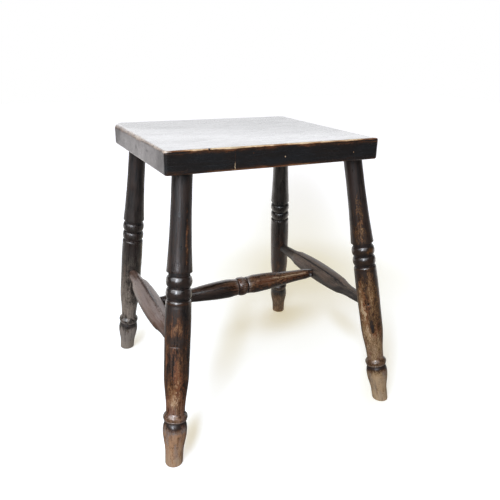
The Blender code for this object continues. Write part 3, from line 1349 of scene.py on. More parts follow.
LEG_AGES: dict[Corner, LegAge] = {
    Corner.FRONT_LEFT: LegAge(
        EbonisedWood("ebonised_leg", dust=(0.205, 0.170, 0.156), sand=(0.345, 0.190, 0.102), wax_gloss=0.19,
                     sheen=0.38, streaks=0.75),
        (
            Mark(0.238, -12.0, 0.017, 0.005, 0.25), Mark(0.246, -42.0, 0.012, 0.006, 0.16),
            Mark(0.322, -12.0, 0.036, 0.005, 0.24), Mark(0.350, -36.0, 0.024, 0.008, 0.20),
            Mark(0.262, -20.0, 0.008, 0.016, -0.14), Mark(0.110, 14.0, 0.045, 0.002, 0.36),
            Mark(0.070, 30.0, 0.050, 0.005, 0.16), Mark(0.372, -30.0, 0.020, 0.024, 0.14),
            Mark(0.393, -26.0, 0.007, 0.024, 0.14), Mark(0.410, -84.0, 0.010, 0.008, 0.26),
            Mark(0.410, 34.0, 0.010, 0.007, 0.24), Mark(0.440, -15.0, 0.030, 0.020, 0.12),
            Mark(0.466, 5.0, 0.006, 0.007, 0.30),
        ),
        worn=1.0, dusty=0.90, rim_rub=0.50, dust_drop=0.34, foot_wear=0.30, polish=1.0, top_dull=0.58,
    ),
    Corner.FRONT_RIGHT: LegAge(
        EbonisedWood("speckled_leg", GOLDEN_STOPS, dust=(0.205, 0.172, 0.138), sand=(0.330, 0.222, 0.122),
                     wax=0.42, wax_gloss=0.16, streaks=0.4, mottle=0.9, flecks=1.25, sheen=0.28),
        (
            Mark(0.136, -46.0, 0.020, 0.009, 0.22), Mark(0.171, 4.0, 0.006, 0.008, 0.18),
            Mark(0.245, -17.0, 0.040, 0.008, 0.20), Mark(0.258, -72.0, 0.034, 0.007, 0.36),
            Mark(0.317, -33.0, 0.013, 0.004, -0.60), Mark(0.345, -45.0, 0.040, 0.016, 0.20),
            Mark(0.225, -40.0, 0.016, 0.012, 0.10), Mark(0.440, -40.0, 0.030, 0.020, 0.18),
            Mark(0.095, -30.0, 0.034, 0.005, 0.26), Mark(0.308, -70.0, 0.040, 0.008, 0.28),
            Mark(0.452, -52.0, 0.016, 0.0016, -0.34),
        ),
        worn=1.18, dusty=0.72, rim_rub=0.30, dust_drop=0.27, foot_wear=0.32, polish=0.8,
    ),
    Corner.BACK_LEFT: LegAge(
        EbonisedWood("greyed_leg", GREYED_STOPS, blush=(0.100, 0.060, 0.042), dust=(0.218, 0.186, 0.167),
                     sand=(0.265, 0.210, 0.170), wax=0.24, wax_gloss=0.15, streaks=0.6, mottle=1.0,
                     flecks=0.7),
        (
            Mark(0.330, -60.0, 0.060, 0.016, 0.22), Mark(0.445, -13.0, 0.030, 0.020, 0.20),
            Mark(0.350, -20.0, 0.040, 0.003, 0.20), Mark(0.432, -34.0, 0.024, 0.0022, -0.40),
            Mark(0.438, 8.0, 0.018, 0.003, -0.36),
        ),
        worn=1.04, dusty=1.3, rim_rub=0.30, dust_drop=0.22, foot_wear=0.34, polish=0.0, top_dull=0.60,
    ),
    Corner.BACK_RIGHT: LegAge(
        EbonisedWood("smoky_leg", tint=(0.048, 0.038, 0.032), blush=(0.120, 0.066, 0.032),
                     dust=(0.170, 0.140, 0.105), sand=(0.220, 0.160, 0.095)),
        (Mark(0.440, -30.0, 0.035, 0.020, 0.22),),
        worn=0.80, dusty=0.5, rim_rub=0.20, dust_drop=0.36, foot_wear=0.12, polish=0.1,
    ),
}


@dataclass
class TurnedLeg:
    """One turned leg, from its tenon in the seat to its foot on the floor.

    Sizes whose names end in drop are distances down its axis from the seat's underside. Those that end in
    length, and the cove, the lip and the gap, are lengths along it, and the rest are radii.

    Attributes:
        corner: Where it stands.
        socket: The point where its axis meets the seat's underside.
        foot: The point where it meets the floor.
        age: What use has done to it.
        seed: A number that gives it its own unevenness.
        scribe_height: Height of the line that marks the stretchers' mortises.
    """

    # Where wear sets in down the leg, where it is complete, and how much it is; the ankle's ring was spared
    WEAR_STEPS = ((0.02, 0.16, 0.10), (0.205, 0.250, 0.19), (0.29, 0.38, 0.20), (0.382, 0.389, -0.19))
    FOOT_STEP = (0.400, 0.422)
    # The spans down the leg over which its two beads and its ankle's ring start and end
    BEADS_IN = (0.159, 0.163)
    BEADS_OUT = (0.207, 0.213)
    RING_IN = (0.383, 0.388)
    RING_OUT = (0.414, 0.424)
    # How much the finish wears by its height on the outline, at the floor, and where nothing else rubs it
    RUB_SHARE = 0.45
    FLOOR_WEAR = 0.22
    LEAST_WEAR = 0.06
    PATCHES = Pattern(45.0, 0.35, 2.0, 0.3)

    corner: Corner
    socket: Vector
    foot: Vector
    age: LegAge
    seed: float
    scribe_height: float = 0.1975
    scribe_width: float = 0.0009
    scribe_depth: float = 0.0002
    tenon_depth: float = 0.026
    tenon_end: float = 0.0135
    top: float = 0.0160
    shoulder_drop: float = 0.1565
    shoulder: float = 0.0205
    groove_length: float = 0.0055
    groove: float = 0.0170
    bead_length: float = 0.0175
    bead: float = 0.0207
    bead_gap: float = 0.0015
    low_groove: float = 0.0184
    arris: float = 0.0010
    shaft_round: float = 0.0044
    shaft_top: float = 0.0204
    belly_drop: float = 0.238
    belly: float = 0.0209
    taper_drop: float = 0.320
    taper: float = 0.0202
    ankle_drop: float = 0.3855
    ankle: float = 0.0153
    ring_length: float = 0.0140
    cove: float = 0.0052
    lip: float = 0.0022
    ring: float = 0.0197
    foot_groove: float = 0.0168
    bulge_drop: float = 0.416
    bulge: float = 0.0197
    foot_taper_drop: float = 0.456
    foot_taper: float = 0.0148
    foot_end: float = 0.0141
    foot_softening: float = 0.0020

    @property
    def frame(self) -> Matrix:
        """The leg's own frame: Z down its axis from the seat's underside, Y towards the front."""
        return lathe_frame(self.socket, self.foot, FRONT)

    @property
    def length(self) -> float:
        """Length from the seat's underside to the floor."""
        return (self.foot - self.socket).length

    def outline(self) -> Outline:
        """Draw the leg's outline.

        Returns:
            The outline, from its tenon's end to a little below the floor.
        """
        first_bead = self.shoulder_drop + self.groove_length
        second_bead = first_bead + self.bead_length + self.bead_gap
        shaft = second_bead + self.bead_length + self.groove_length
        ring_end = self.ankle_drop + self.ring_length
        arris, soft, rim = self.arris, self.shaft_round, self.age.rim_rub
        outline = Outline(-self.tenon_depth, self.tenon_end).line(0.0, self.top)
        outline.bow(self.shoulder_drop - arris, self.shoulder, 40, 2.6, 0.10)
        outline.curve(self.shoulder_drop, self.shoulder - arris, 5, quarter_round, 0.15)
        outline.line(self.shoulder_drop + arris * 0.2, self.groove, GROOVE_RUB)
        outline.line(first_bead, self.groove, GROOVE_RUB)
        outline.bead(self.bead_length, self.bead, 20, 0.15)
        outline.line(second_bead, self.groove, GROOVE_RUB)
        outline.bead(self.bead_length, self.bead, 20, 0.15)
        outline.line(shaft - soft, self.low_groove, GROOVE_RUB)
        outline.line(shaft - soft * 0.8, self.shaft_top - soft * 0.5, rim * 0.2)
        outline.curve(shaft + soft * 0.2, self.shaft_top, 9, quarter_round_out, rim)
        outline.line(shaft + soft * 0.6, self.shaft_top, rim * 0.1)
        outline.sweep(self.belly_drop, self.belly, 10)
        outline.sweep(self.taper_drop, self.taper, 24)
        outline.sweep(self.ankle_drop, self.ankle, 24, -0.10)
        outline.bow(self.ankle_drop + self.cove, self.ring - arris, 8, 1.4)
        outline.bead(self.ring_length - self.cove - self.lip, self.ring, 14, 0.05)
        outline.line(ring_end - self.lip + arris * 0.2, self.ring - arris * 1.5, -0.1)
        outline.bead(self.lip, self.ring - arris, 8, 0.55)
        outline.line(ring_end + arris * 0.5, self.foot_groove, -0.8)
        outline.line(ring_end + arris * 2.2, self.foot_groove, GROOVE_RUB)
        outline.settle(self.bulge_drop, self.bulge, 14, 2.2, -0.3)
        outline.sweep(self.foot_taper_drop, self.foot_taper, 24, 0.1)
        outline.line(self.length + self.foot_end, self.foot_end, 0.2)
        drop = (self.socket.z - self.scribe_height) / self.socket.z * self.length
        return outline.scribe(drop, self.scribe_width, self.scribe_depth)

    def build(self) -> BMesh:
        """Turn the leg and cut it level at the floor.

        Returns:
            The closed mesh, in the leg's frame.
        """
        bm = Lathe().turn(self.outline(), self.seed)
        inverse = self.frame.inverted()
        down = (inverse.to_3x3() @ -UP).normalized()
        geometry = bm.verts[:] + bm.edges[:] + bm.faces[:]
        bmesh.ops.bisect_plane(bm, geom=geometry, plane_co=inverse @ Vector((0, 0, 0)), plane_no=down,
                               clear_outer=True)
        rim = [edge for edge in bm.edges if edge.is_boundary]
        bmesh.ops.edgeloop_fill(bm, edges=rim)
        bmesh.ops.bevel(bm, geom=rim, offset=self.foot_softening, segments=4, profile=0.5,
                        affect="EDGES", material=-1)
        return bm

    def wear(self, sheet: Sheet, place: NodeSocket) -> Wear:
        """How the leg is worn: more towards its foot, on its crests, and in its marks.

        Args:
            sheet: The material's sheet.
            place: Coordinates in the leg's frame.

        Returns:
            Its wear.
        """
        age = self.age
        drop = sheet.parts(place)[2]
        rub = sheet.attribute(RUB)
        steps = (*self.WEAR_STEPS, (*self.FOOT_STEP, age.foot_wear + 0.15))
        slope = sum(drop.rise(start, end) * depth for start, end, depth in steps)
        patchy = sheet.cloud(place, self.PATCHES)
        base = slope * age.worn * (0.5 + patchy) + self.LEAST_WEAR + rub * self.RUB_SHARE
        worn = marked(sheet, place, age.marks, self.outline(), base)
        worn = worn + drop.rise(self.length - 0.022, self.length - 0.002) * self.FLOOR_WEAR
        beads = drop.band(self.BEADS_IN, self.BEADS_OUT)
        ring = drop.band(self.RING_IN, self.RING_OUT)
        dust = drop.rise(age.dust_drop, 0.44) * (1.0 - drop.rise(self.length - 0.030, self.length) * 0.5)
        # The most rubbed crests, the shaft's rim and the ring's lip, turn grey partly as bare wood and
        # partly as a painted highlight; the polished ring is greyed as a painted sheen
        dust = dust * age.dusty + rub.rise(0.4, 0.8) * 2.5 + ring * age.polish * 0.5
        dull = drop.rise(0.415, 0.440) * 0.5 + drop.fall(0.10, 0.155) * age.top_dull
        dull = dull + rub.fall(GROOVE_RUB + 0.01, GROOVE_RUB + 0.12) + (1.0 - beads - ring) * 0.25
        return Wear(worn, dust, dull.lowest(1.0), (beads + ring) * age.polish)

    def dress(self, bm: BMesh) -> Object:
        """Finish the leg and let it stand for its node.

        Args:
            bm: The leg's mesh, in its own frame.

        Returns:
            The piece.
        """
        node = f"{self.corner.word}_leg"
        material = self.age.finish.material(self.frame, self.wear, self.corner.word, self.seed)
        piece = add_piece(f"turned_{node}", bm, self.frame, material)
        enlist(piece, node)
        return piece


# Stretchers


@dataclass(frozen=True)
class BarAge:
    """What years of use have done to one stretcher.

    Attributes:
        finish: Its finish.
        marks: The worn and the spared spots on it, with painted highlight and dark reflection streaks.
        rubbed: How worn it is all over.
        dusty: How grey its top is: partly dust that settles there, partly a painted highlight.
    """

    finish: EbonisedWood
    marks: Sequence[Mark]
    rubbed: float
    dusty: float


SIDE_AGES: dict[Side, BarAge] = {
    Side.LEFT: BarAge(
        EbonisedWood("greyed_stretcher", blush=(0.120, 0.056, 0.036), dust=(0.245, 0.205, 0.195),
                     sand=(0.270, 0.220, 0.195), gloss=0.42, wax=0.35, wax_gloss=0.15, streaks=0.25,
                     mottle=0.4, flecks=0.2, run=0.12),
        # The long spared streak along its top is a painted dark reflection line
        (Mark(0.010, 2.0, 0.090, 0.0034, -0.30),),
        rubbed=0.43, dusty=1.3,
    ),
    Side.RIGHT: BarAge(
        EbonisedWood("browned_stretcher", GREYED_STOPS, blush=(0.120, 0.062, 0.042), gloss=0.55, wax=0.12,
                     wax_gloss=0.15, streaks=0.4, mottle=0.8, flecks=0.3, run=0.12),
        (
            # The long thin spared streak along its top is a painted dark reflection line
            Mark(0.0, 32.0, 0.110, 0.0016, -0.52), Mark(0.055, 60.0, 0.050, 0.010, 0.24),
            Mark(-0.040, 62.0, 0.030, 0.005, 0.12),
        ),
        rubbed=0.36, dusty=0.7,
    ),
}
CROSS_AGE = BarAge(
    EbonisedWood("rubbed_stretcher", gloss=0.32, wax=0.55, wax_gloss=0.13, streaks=0.5, mottle=0.7,
                 flecks=0.4, run=0.12),
    (
        Mark(0.055, -60.0, 0.040, 0.014, 0.30), Mark(0.115, -58.0, 0.045, 0.012, 0.28),
        # The long thin worn streak at 0.098 m is a painted highlight
        Mark(0.098, -52.0, 0.060, 0.0013, 0.58), Mark(-0.030, -50.0, 0.012, 0.010, 0.14),
    ),
    rubbed=0.19, dusty=0.35,
)


@dataclass
class TurnedStretcher:
    """A turned bar between two axes, with a round tenon at each end.

    Attributes:
        name: The node that it stands for.
        start: Point of the first axis.
        end: Point of the second axis.
        end_radius: Radius of what it is let into.
        tenon_depth: How deep its tenons go.
        age: What use has done to it.
        tenon: The tenons' radius.
        mortise_overrun: How far its neck goes into the mortise.
        sides: Faces round it.
    """

    # The spans of height above the axis over which wear, dust with its painted highlight, and wax set in
    WEAR_IN = (-0.006, 0.020)
    DUST_IN = (-0.004, 0.016)
    WAX_IN = (-0.010, 0.010)

    name: str
    start: Vector
    end: Vector
    end_radius: float
    tenon_depth: float
    age: BarAge
    tenon: float = 0.0090
    mortise_overrun: float = 0.004
    sides: int = 56

    @property
    def middle(self) -> Vector:
        """The middle of the bar's axis."""
        return (self.start + self.end) / 2

    @property
    def reach(self) -> float:
        """From the middle to the surface that the bar is let into."""
        return (self.end - self.start).length / 2 - self.end_radius

    @property
    def frame(self) -> Matrix:
        """The bar's own frame: Z along its axis from its middle, Y up."""
        return lathe_frame(self.middle, self.end, UP)

    def half_outline(self) -> Outline:
        """The outline from the middle to where the plain neck starts; each kind of bar has its own."""
        raise NotImplementedError

    def outline(self) -> Outline:
        """Draw the bar's outline.

        Returns:
            The whole outline, with its necks and tenons.
        """
        half = self.half_outline()
        half.line(self.reach - self.mortise_overrun, self.tenon, -0.2)
        half.line(self.reach + self.tenon_depth, self.tenon, -0.2)
        return half.mirrored()

    def wear(self, sheet: Sheet, place: NodeSocket) -> Wear:
        """How the bar is worn: most along its top, and in its marks.

        Args:
            sheet: The material's sheet.
            place: Coordinates in the bar's frame.

        Returns:
            Its wear.
        """
        height = sheet.parts(place)[1]
        rub = sheet.attribute(RUB)
        base = height.rise(*self.WEAR_IN) * 0.16 + self.age.rubbed + rub * 0.4
        worn = marked(sheet, place, self.age.marks, self.outline(), base)
        # Greyer along its top and on its most rubbed crests: partly dust and bare wood, partly a painted
        # highlight
        dust = height.rise(*self.DUST_IN) * self.age.dusty + rub.rise(0.3, 0.6) * 1.6
        dull = height.fall(*self.WAX_IN) * 0.3 + rub.fall(GROOVE_RUB + 0.01, GROOVE_RUB + 0.2)
        return Wear(worn, dust, dull.lowest(1.0), rub.rise(0.2, 0.5) * 0.8)

    def dress(self, seed: float) -> Object:
        """Turn the bar, finish it and let it stand for its node.

        Args:
            seed: A number that gives it its own unevenness.

        Returns:
            The piece.
        """
        bm = Lathe(self.sides).turn(self.outline(), seed)
        material = self.age.finish.material(self.frame, self.wear, self.name, seed)
        piece = add_piece(f"turned_{self.name}", bm, self.frame, material)
        enlist(piece, self.name)
        return piece


@dataclass
class SideStretcher(TurnedStretcher):
    """A side stretcher: a belly that narrows to a shoulder, then hollows to a neck.

    Attributes:
        belly: Its radius at its middle.
        shoulder_reach: From its middle to its shoulder.
        shoulder: Its radius there.
        neck_reach: From its middle to its neck.
        neck: Its radius there.
    """

    belly: float = 0.0198
    shoulder_reach: float = 0.080
    shoulder: float = 0.0164
    neck_reach: float = 0.122
    neck: float = 0.0109

    def half_outline(self) -> Outline:
        """Draw half the outline.

        Returns:
            The outline from the middle to the neck.
        """
        outline = Outline(0.0, self.belly)
        outline.bow(self.shoulder_reach, self.shoulder, 20, 2.0, 0.12)
        return outline.settle(self.neck_reach, self.neck, 14, 2.0, -0.1)


@dataclass
class CrossStretcher(TurnedStretcher):
    """The cross stretcher: a bead between grooves and collars, then a long belly to each neck.

    Attributes:
        bead_reach: Half the bead's length.
        bead: The bead's radius.
        groove: Radius in the groove at each side of it.
        groove_width: How wide the groove is.
        collar: The collar's radius.
        arris: How wide its arris is softened.
        belly_reach: From the bar's middle to its greatest radius beyond the collar.
        belly: That radius.
        neck_reach: From its middle to its neck.
        neck: Its radius there.
    """

    bead_reach: float = 0.0090
    bead: float = 0.0188
    groove: float = 0.0150
    groove_width: float = 0.0020
    collar: float = 0.0168
    arris: float = 0.0012
    belly_reach: float = 0.030
    belly: float = 0.0182
    neck_reach: float = 0.150
    neck: float = 0.0108

    def half_outline(self) -> Outline:
        """Draw half the outline.

        Returns:
            The outline from the bead's crest to the neck.
        """
        # The high rub of the bead and collars also greys them, partly as a painted highlight
        outline = Outline(0.0, self.bead, 0.6)
        outline.curve(self.bead_reach, self.groove, 10, quarter_round, 0.25)
        edge = self.bead_reach + self.groove_width
        outline.line(edge, self.groove, GROOVE_RUB)
        outline.line(edge + self.arris * 0.4, self.collar - self.arris * 0.4, 0.8)
        outline.line(edge + self.arris, self.collar, 0.6)
        outline.sweep(self.belly_reach, self.belly, 8)
        return outline.sweep(self.neck_reach, self.neck, 36)


# Nail


@dataclass
class JointNail:
    """The small round-headed nail that locks the cross stretcher's right tenon.

    Attributes:
        cross: The cross stretcher that it is driven into.
        setback: How far from the bar's shoulder it goes in.
        lean: Radians between its shank and the bar's axis.
        shank: Its shank's radius.
        head: Its head's radius.
        head_rise: How high its head stands.
        length: Its length under the head.
        sides: Faces round it.
        finish: Its finish.
    """

    cross: CrossStretcher
    setback: float = 0.007
    lean: float = math.radians(45)
    shank: float = 0.0011
    head: float = 0.0030
    head_rise: float = 0.0013
    length: float = 0.038
    sides: int = 28
    finish: DullIron = DullIron()

    @property
    def frame(self) -> Matrix:
        """The nail's own frame.

        Returns:
            The matrix that takes it to the model's: Z is along its shank from under its head.
        """
        direction = (self.cross.end - self.cross.start).normalized()
        reach = self.cross.reach - self.setback
        entry = self.cross.middle + direction * reach + FRONT * self.cross.outline().radius_at(reach)
        run = direction * math.cos(self.lean) - FRONT * math.sin(self.lean)
        return lathe_frame(entry, entry + run, UP)

    def dress(self) -> Object:
        """Make the nail, finish it and let it stand for its node.

        Returns:
            The piece.
        """
        outline = Outline(-self.head_rise, self.shank)
        outline.settle(0.0, self.head, 8, 2.4)
        outline.line(self.shank, self.head * 0.9).line(self.shank, self.shank)
        outline.line(self.length - self.head * 2, self.shank).line(self.length, self.shank * 0.25)
        bm = Lathe(self.sides, wobble=0.0, dent=0.0).turn(outline, 0.0)
        piece = add_piece("round_head_nail", bm, self.frame, self.finish.material("nail"))
        enlist(piece, "joint_nail")
        return piece


# Studio


def bearing(azimuth: float, elevation: float = 0.0) -> Vector:
    """The way from the stool at degrees round it, from its front towards its right, and degrees up."""
    turn, tilt = math.radians(azimuth), math.radians(elevation)
    return Vector((math.sin(turn) * math.cos(tilt), -math.cos(turn) * math.cos(tilt), math.sin(tilt)))


class Shows(Enum):
    """Where a lamp shows: whether it lights matt surfaces, and whether it glints in glossy ones."""

    LIGHT = (True, False)
    SHINE = (False, True)
    BOTH = (True, True)


class Softbox(NamedTuple):
    """A lamp with a flat, even face that looks at the stool.

    Attributes:
        name: Its name.
        azimuth: Degrees round the stool from its front, towards its right.
        elevation: Degrees above the stool's middle.
        distance: Metres from it.
        size: Width and height of its face in metres.
        glow: How bright its face is, where one is white.
        shows: Where it shows.
        colour: Its tint.
    """

    name: str
    azimuth: float
    elevation: float
    distance: float
    size: tuple[float, float]
    glow: float
    shows: Shows
    colour: Colour = WHITE


class FloorShade(NamedTuple):
    """A soft-edged painted shadow on the floor, where the floor's glow is dimmed.

    Attributes:
        place: Its middle.
        turn: Degrees that its length is turned from +X.
        reach: Half its length.
        breadth: Half its width.
        depth: How deep the painted shadow is in its middle.
    """

    place: tuple[float, float, float]
    turn: float
    reach: float
    breadth: float
    depth: float

    def shade(self, sheet: Sheet, position: NodeSocket) -> Signal:
        """How deep the painted shadow is at each point of the floor.

        Args:
            sheet: The floor's sheet.
            position: The floor's coordinates.

        Returns:
            The share of it.
        """
        size = (self.reach, self.breadth, 1.0)
        return sheet.reach(position, self.place, size, math.radians(self.turn)).fall(0.1, 1.3) * self.depth


@dataclass
class Studio:
    """The camera of the photograph's view, soft lamps, a pale floor and a white background.

    Attributes:
        camera_place: Where the camera stands.
        azimuth: Degrees that it is turned from looking along +Y.
        elevation: Degrees that it looks down.
        roll: Degrees that it leans to its right.
        focal_pixels: Its focal length, in pixels of the picture.
        picture: Width of the picture in pixels.
        sensor: Width of the camera's sensor in millimetres.
        aim: The stool's middle, which the lamps look at.
        floor_size: Half the width of the floor.
        fill: Brightness of the room's even light, where one is white.
        mirror_tint: The white backdrop's colour in glossy surfaces.
        dim_backdrop: How bright glossy surfaces see the room away from the backdrop.
        floor_bounce: The floor's colour for the light that it throws back.
        room_floor: Its colour in glossy surfaces, on the camera's side of the stool.
        floor_paint: Its colour as the camera sees it.
        floor_glow: What the backdrop's light adds to the floor by the stool, as the camera sees it.
        far_glow: What it adds further off.
        shade_glow: The floor's glow in the deepest painted shadow by the stool.
        far_shade: The same further off.
        shades: The painted shadows on the floor, where its glow is dimmed.
        softboxes: The lamps.
    """

    # How far round from behind the stool the white backdrop ends, as the cosine of the angle
    BACKDROP_EDGE = (0.45, 0.90)
    # Metres from the stool over which lit floor, painted shadows and the room's floor change
    LIT_FAR = (0.6, 2.0)
    SHADED_FAR = (0.6, 1.5)
    ROOM_NEAR = (-0.10, 0.55)

    camera_place: tuple[float, float, float] = (-0.4173, -0.8938, 0.6360)
    azimuth: float = -26.24
    elevation: float = 20.43
    roll: float = 1.05
    focal_pixels: float = 538.9
    picture: int = 500
    sensor: float = 36.0
    aim: tuple[float, float, float] = (0.0, 0.0, 0.25)
    fill: float = 0.36
    floor_size: float = 6.0
    mirror_tint: Colour = (0.975, 0.980, 1.0)
    dim_backdrop: float = 0.075
    floor_bounce: Colour = (0.72, 0.72, 0.72)
    room_floor: Colour = (0.13, 0.13, 0.13)
    floor_paint: Colour = (0.58, 0.69, 0.80)
    floor_glow: Colour = (0.735, 0.690, 0.640)
    far_glow: Colour = (0.82, 0.76, 0.76)
    shade_glow: Colour = (0.375, 0.245, 0.0)
    far_shade: Colour = (0.366, 0.262, 0.100)
    shades: Sequence[FloorShade] = (
        FloorShade((0.74, 1.01, 0.0), 59.0, 1.39, 0.270, 0.62),
        FloorShade((0.45, 0.36, 0.0), 158.0, 0.52, 0.310, 0.44),
        FloorShade((0.19, 0.156, 0.0), 17.0, 0.126, 0.078, 0.40),
        FloorShade((0.044, 0.122, 0.0), 57.0, 0.240, 0.044, 0.46),
        FloorShade((0.325, 0.063, 0.0), 79.0, 0.100, 0.035, 0.34),
        FloorShade((0.271, -0.127, 0.0), 47.0, 0.290, 0.052, 0.46),
        FloorShade((-0.159, -0.151, 0.0), 62.0, 0.064, 0.019, 0.68),
        FloorShade((-0.160, 0.215, 0.0), 62.0, 0.055, 0.022, 0.40),
    )
    softboxes: Sequence[Softbox] = (
        Softbox("window", -42.0, 29.0, 3.8, (1.1, 2.1), 11.0, Shows.LIGHT, (0.95, 0.97, 1.0)),
        Softbox("glint", -42.0, 30.0, 3.8, (1.0, 2.6), 14.5, Shows.SHINE, (0.86, 0.91, 1.0)),
        Softbox("sheen", -50.0, 42.0, 2.6, (4.8, 2.8), 3.1, Shows.SHINE, (0.90, 0.94, 1.0)),
        Softbox("overhead", -74.0, 58.0, 3.2, (1.7, 1.5), 4.2, Shows.BOTH),
        Softbox("backdrop", 155.0, 27.4, 2.6, (2.8, 1.3), 0.56, Shows.BOTH, (0.96, 0.965, 1.0)),
    )

    def camera(self) -> None:
        """Set up the camera."""
        lean = math.radians(self.roll)
        back = bearing(self.azimuth, self.elevation)
        right = UP.cross(back).normalized()
        up = back.cross(right)
        leaning_right = right * math.cos(lean) + up * math.sin(lean)
        leaning_up = up * math.cos(lean) - right * math.sin(lean)
        matrix = Matrix((leaning_right, leaning_up, back)).transposed().to_4x4()
        matrix.translation = Vector(self.camera_place)
        data = bpy.data.cameras.new("camera")
        data.sensor_width = self.sensor
        data.lens = self.sensor * self.focal_pixels / self.picture
        camera = put("camera", data)
        camera.matrix_world = matrix
        bpy.context.scene.camera = camera

    def lamps(self) -> None:
        """Hang the softboxes."""
        aim = Vector(self.aim)
        for box in self.softboxes:
            data = bpy.data.lights.new(box.name, "AREA")
            data.shape = "RECTANGLE"
            data.size, data.size_y = box.size
            data.energy = box.glow * math.pi * box.size[0] * box.size[1]
            data.color = box.colour
            lamp = put(box.name, data)
            frame = lathe_frame(aim + bearing(box.azimuth, box.elevation) * box.distance, aim, UP)
            lamp.matrix_world = frame @ Matrix.Rotation(math.pi, 4, "Y")
            lamp.visible_diffuse, lamp.visible_glossy = box.shows.value
            LOG.info("%s lamp hung", box.name)

    def background(self) -> None:
        """Light the room evenly, with a white backdrop where the camera and reflections see it."""
        world = bpy.data.worlds.new("white_studio")
        world.use_nodes = True
        bpy.context.scene.world = world
        sheet = Sheet(world.node_tree)
        camera, glossy, clear = sheet.rays()
        direction = sheet.node("ShaderNodeTexCoord").outputs["Generated"]
        backdrop = sheet.ahead(direction, -bearing(self.azimuth)).rise(*self.BACKDROP_EDGE)
        mirrored = glossy * (backdrop * (1.0 - self.dim_backdrop) + self.dim_backdrop)
        plain = (1.0 - camera - glossy - clear).highest(0.0) * self.fill
        values = {
            "Color": sheet.blend(glossy, WHITE, self.mirror_tint),
            "Strength": camera + clear + mirrored + plain,
        }
        sheet.show(sheet.node("ShaderNodeBackground", None, values), "ShaderNodeOutputWorld")

    def _floor_material(self) -> Material:
        """Paint the floor, white where no shadow falls, with painted shadows that dim its glow, and clear
        from beneath.

        Returns:
            Its material.
        """
        material, sheet = new_material("pale_floor")
        camera, glossy, clear = sheet.rays()
        position = sheet.objects()
        paint = sheet.blend(camera, self.floor_bounce, self.floor_paint)
        matt = sheet.node("ShaderNodeBsdfDiffuse", None, {"Color": paint})
        # Painted shadows: patches that dim the floor's glow towards a warm shade, on top of the lamps' real
        # shadows on its matt part
        shade = sum(patch.shade(sheet, position) for patch in self.shades).lowest(1.0)
        distance = sheet.length(position)
        lit = sheet.blend(distance.rise(*self.LIT_FAR), self.floor_glow, self.far_glow)
        shaded = sheet.blend(distance.rise(*self.SHADED_FAR), self.shade_glow, self.far_shade)
        values = {"Color": sheet.blend(shade, lit, shaded), "Strength": camera + clear + glossy}
        glow = sheet.node("ShaderNodeEmission", None, values)
        paper = sheet.node("ShaderNodeAddShader", None, {0: matt.outputs[0], 1: glow.outputs[0]})
        room = sheet.node("ShaderNodeBsdfDiffuse", None, {"Color": (*self.room_floor, 1.0)})
        nearer = sheet.ahead(position, -bearing(self.azimuth)).fall(*self.ROOM_NEAR)
        beneath = Signal(sheet, sheet.node("ShaderNodeNewGeometry").outputs["Backfacing"])
        above = sheet.mix(glossy * nearer, paper, room)
        sheet.show(sheet.mix(beneath, above, sheet.node("ShaderNodeBsdfTransparent")))
        return material

    def floor(self) -> None:
        """Lay the floor."""
        bm = bmesh.new()
        bmesh.ops.create_grid(bm, x_segments=1, y_segments=1, size=self.floor_size)
        floor = add_piece("floor", bm, Matrix.Identity(4), self._floor_material())


# The stool


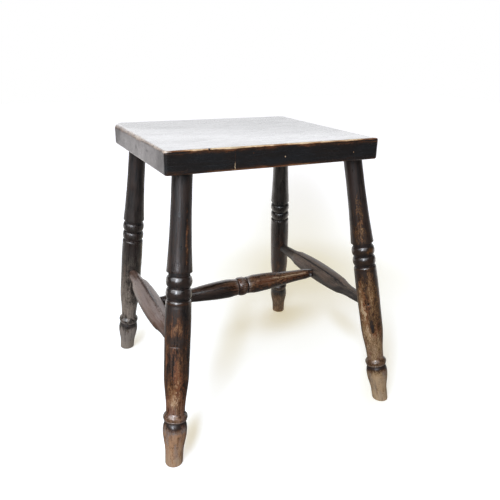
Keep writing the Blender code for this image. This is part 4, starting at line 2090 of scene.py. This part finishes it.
@dataclass
class CountryStool:
    """The whole stool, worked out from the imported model's boxes and mounts.

    Attributes:
        mounts: The record's mounts, by name.
        socket_spacing: Distances between the legs' sockets along X and along Y.
        stretcher_height: Height of the stretchers' axes.
        joint_rise: How far above a side stretcher's axis the leg's radius is taken.
        leg_tenon: How deep the side stretchers' tenons go.
        cross_tenon: How deep the cross stretcher's tenons go.
    """

    mounts: dict[str, Vector]
    socket_spacing: tuple[float, float] = (0.312, 0.256)
    stretcher_height: float = 0.192
    joint_rise: float = 0.002
    leg_tenon: float = 0.024
    cross_tenon: float = 0.022

    def socket(self, corner: Corner) -> Vector:
        """The point where a leg's axis meets the seat's underside.

        Args:
            corner: The leg's corner.

        Returns:
            The point.
        """
        side_x, side_y = corner.value
        spacing_x, spacing_y = self.socket_spacing
        return Vector((side_x * spacing_x / 2, side_y * spacing_y / 2, self.mounts["seat_underside"].z))

    def legs(self) -> dict[Corner, TurnedLeg]:
        """Set out the legs.

        Returns:
            The four legs, each as use has left it.
        """
        return {
            corner: TurnedLeg(corner, self.socket(corner), self.mounts[f"{corner.word}_foot"],
                              LEG_AGES[corner], float(number))
            for number, corner in enumerate(Corner, 1)
        }

    def axis_point(self, leg: TurnedLeg) -> Vector:
        """The point of a leg's axis at the stretchers' height."""
        return leg.socket.lerp(leg.foot, (leg.socket.z - self.stretcher_height) / leg.socket.z)

    def side_stretcher(self, side: Side, legs: dict[Corner, TurnedLeg]) -> SideStretcher:
        """The stretcher between the front leg and the back leg of one side.

        Args:
            side: The side.
            legs: The legs.

        Returns:
            The side stretcher.
        """
        front, back = (legs[corner] for corner in side.value)
        start, end = self.axis_point(front), self.axis_point(back)
        radius = front.outline().radius_at((start - front.socket).length - self.joint_rise)
        name = f"{side.word}_side_stretcher"
        return SideStretcher(name, start, end, radius, self.leg_tenon, SIDE_AGES[side])

    def cross_stretcher(self, left: SideStretcher, right: SideStretcher) -> CrossStretcher:
        """The stretcher between the middles of the side stretchers.

        Args:
            left: The left side stretcher.
            right: The right one.

        Returns:
            The cross stretcher.
        """
        ends = (left.middle, right.middle)
        return CrossStretcher("cross_stretcher", *ends, left.belly, self.cross_tenon, CROSS_AGE)


def main() -> None:
    """Build the stool and its studio, one part at a time."""
    logging.basicConfig(level=logging.INFO, format="%(name)s: %(message)s")
    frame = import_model()
    bpy.context.scene.view_settings.view_transform = "Standard"
    studio = Studio()
    studio.camera()
    studio.lamps()
    studio.background()
    studio.floor()
    mounts = {mount["name"]: Vector(mount["pos_m"]) for mount in frame["record"]["mounts"]}
    stool = CountryStool(mounts)
    seat = PlankSeat(*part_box("seat_plank"))
    pieces = [seat.dress(seat.build())]
    legs = stool.legs()
    pieces.extend(leg.dress(leg.build()) for leg in legs.values())
    left = stool.side_stretcher(Side.LEFT, legs)
    right = stool.side_stretcher(Side.RIGHT, legs)
    cross = stool.cross_stretcher(left, right)
    bars = enumerate((left, right, cross), FIRST_BAR_SEED)
    pieces.extend(bar.dress(float(seed)) for seed, bar in bars)
    pieces.append(JointNail(cross).dress())
    for piece in pieces:
        LOG.info("%s stands in its place with %d faces", piece.name, len(piece.data.polygons))


if __name__ == "__main__":
    main()
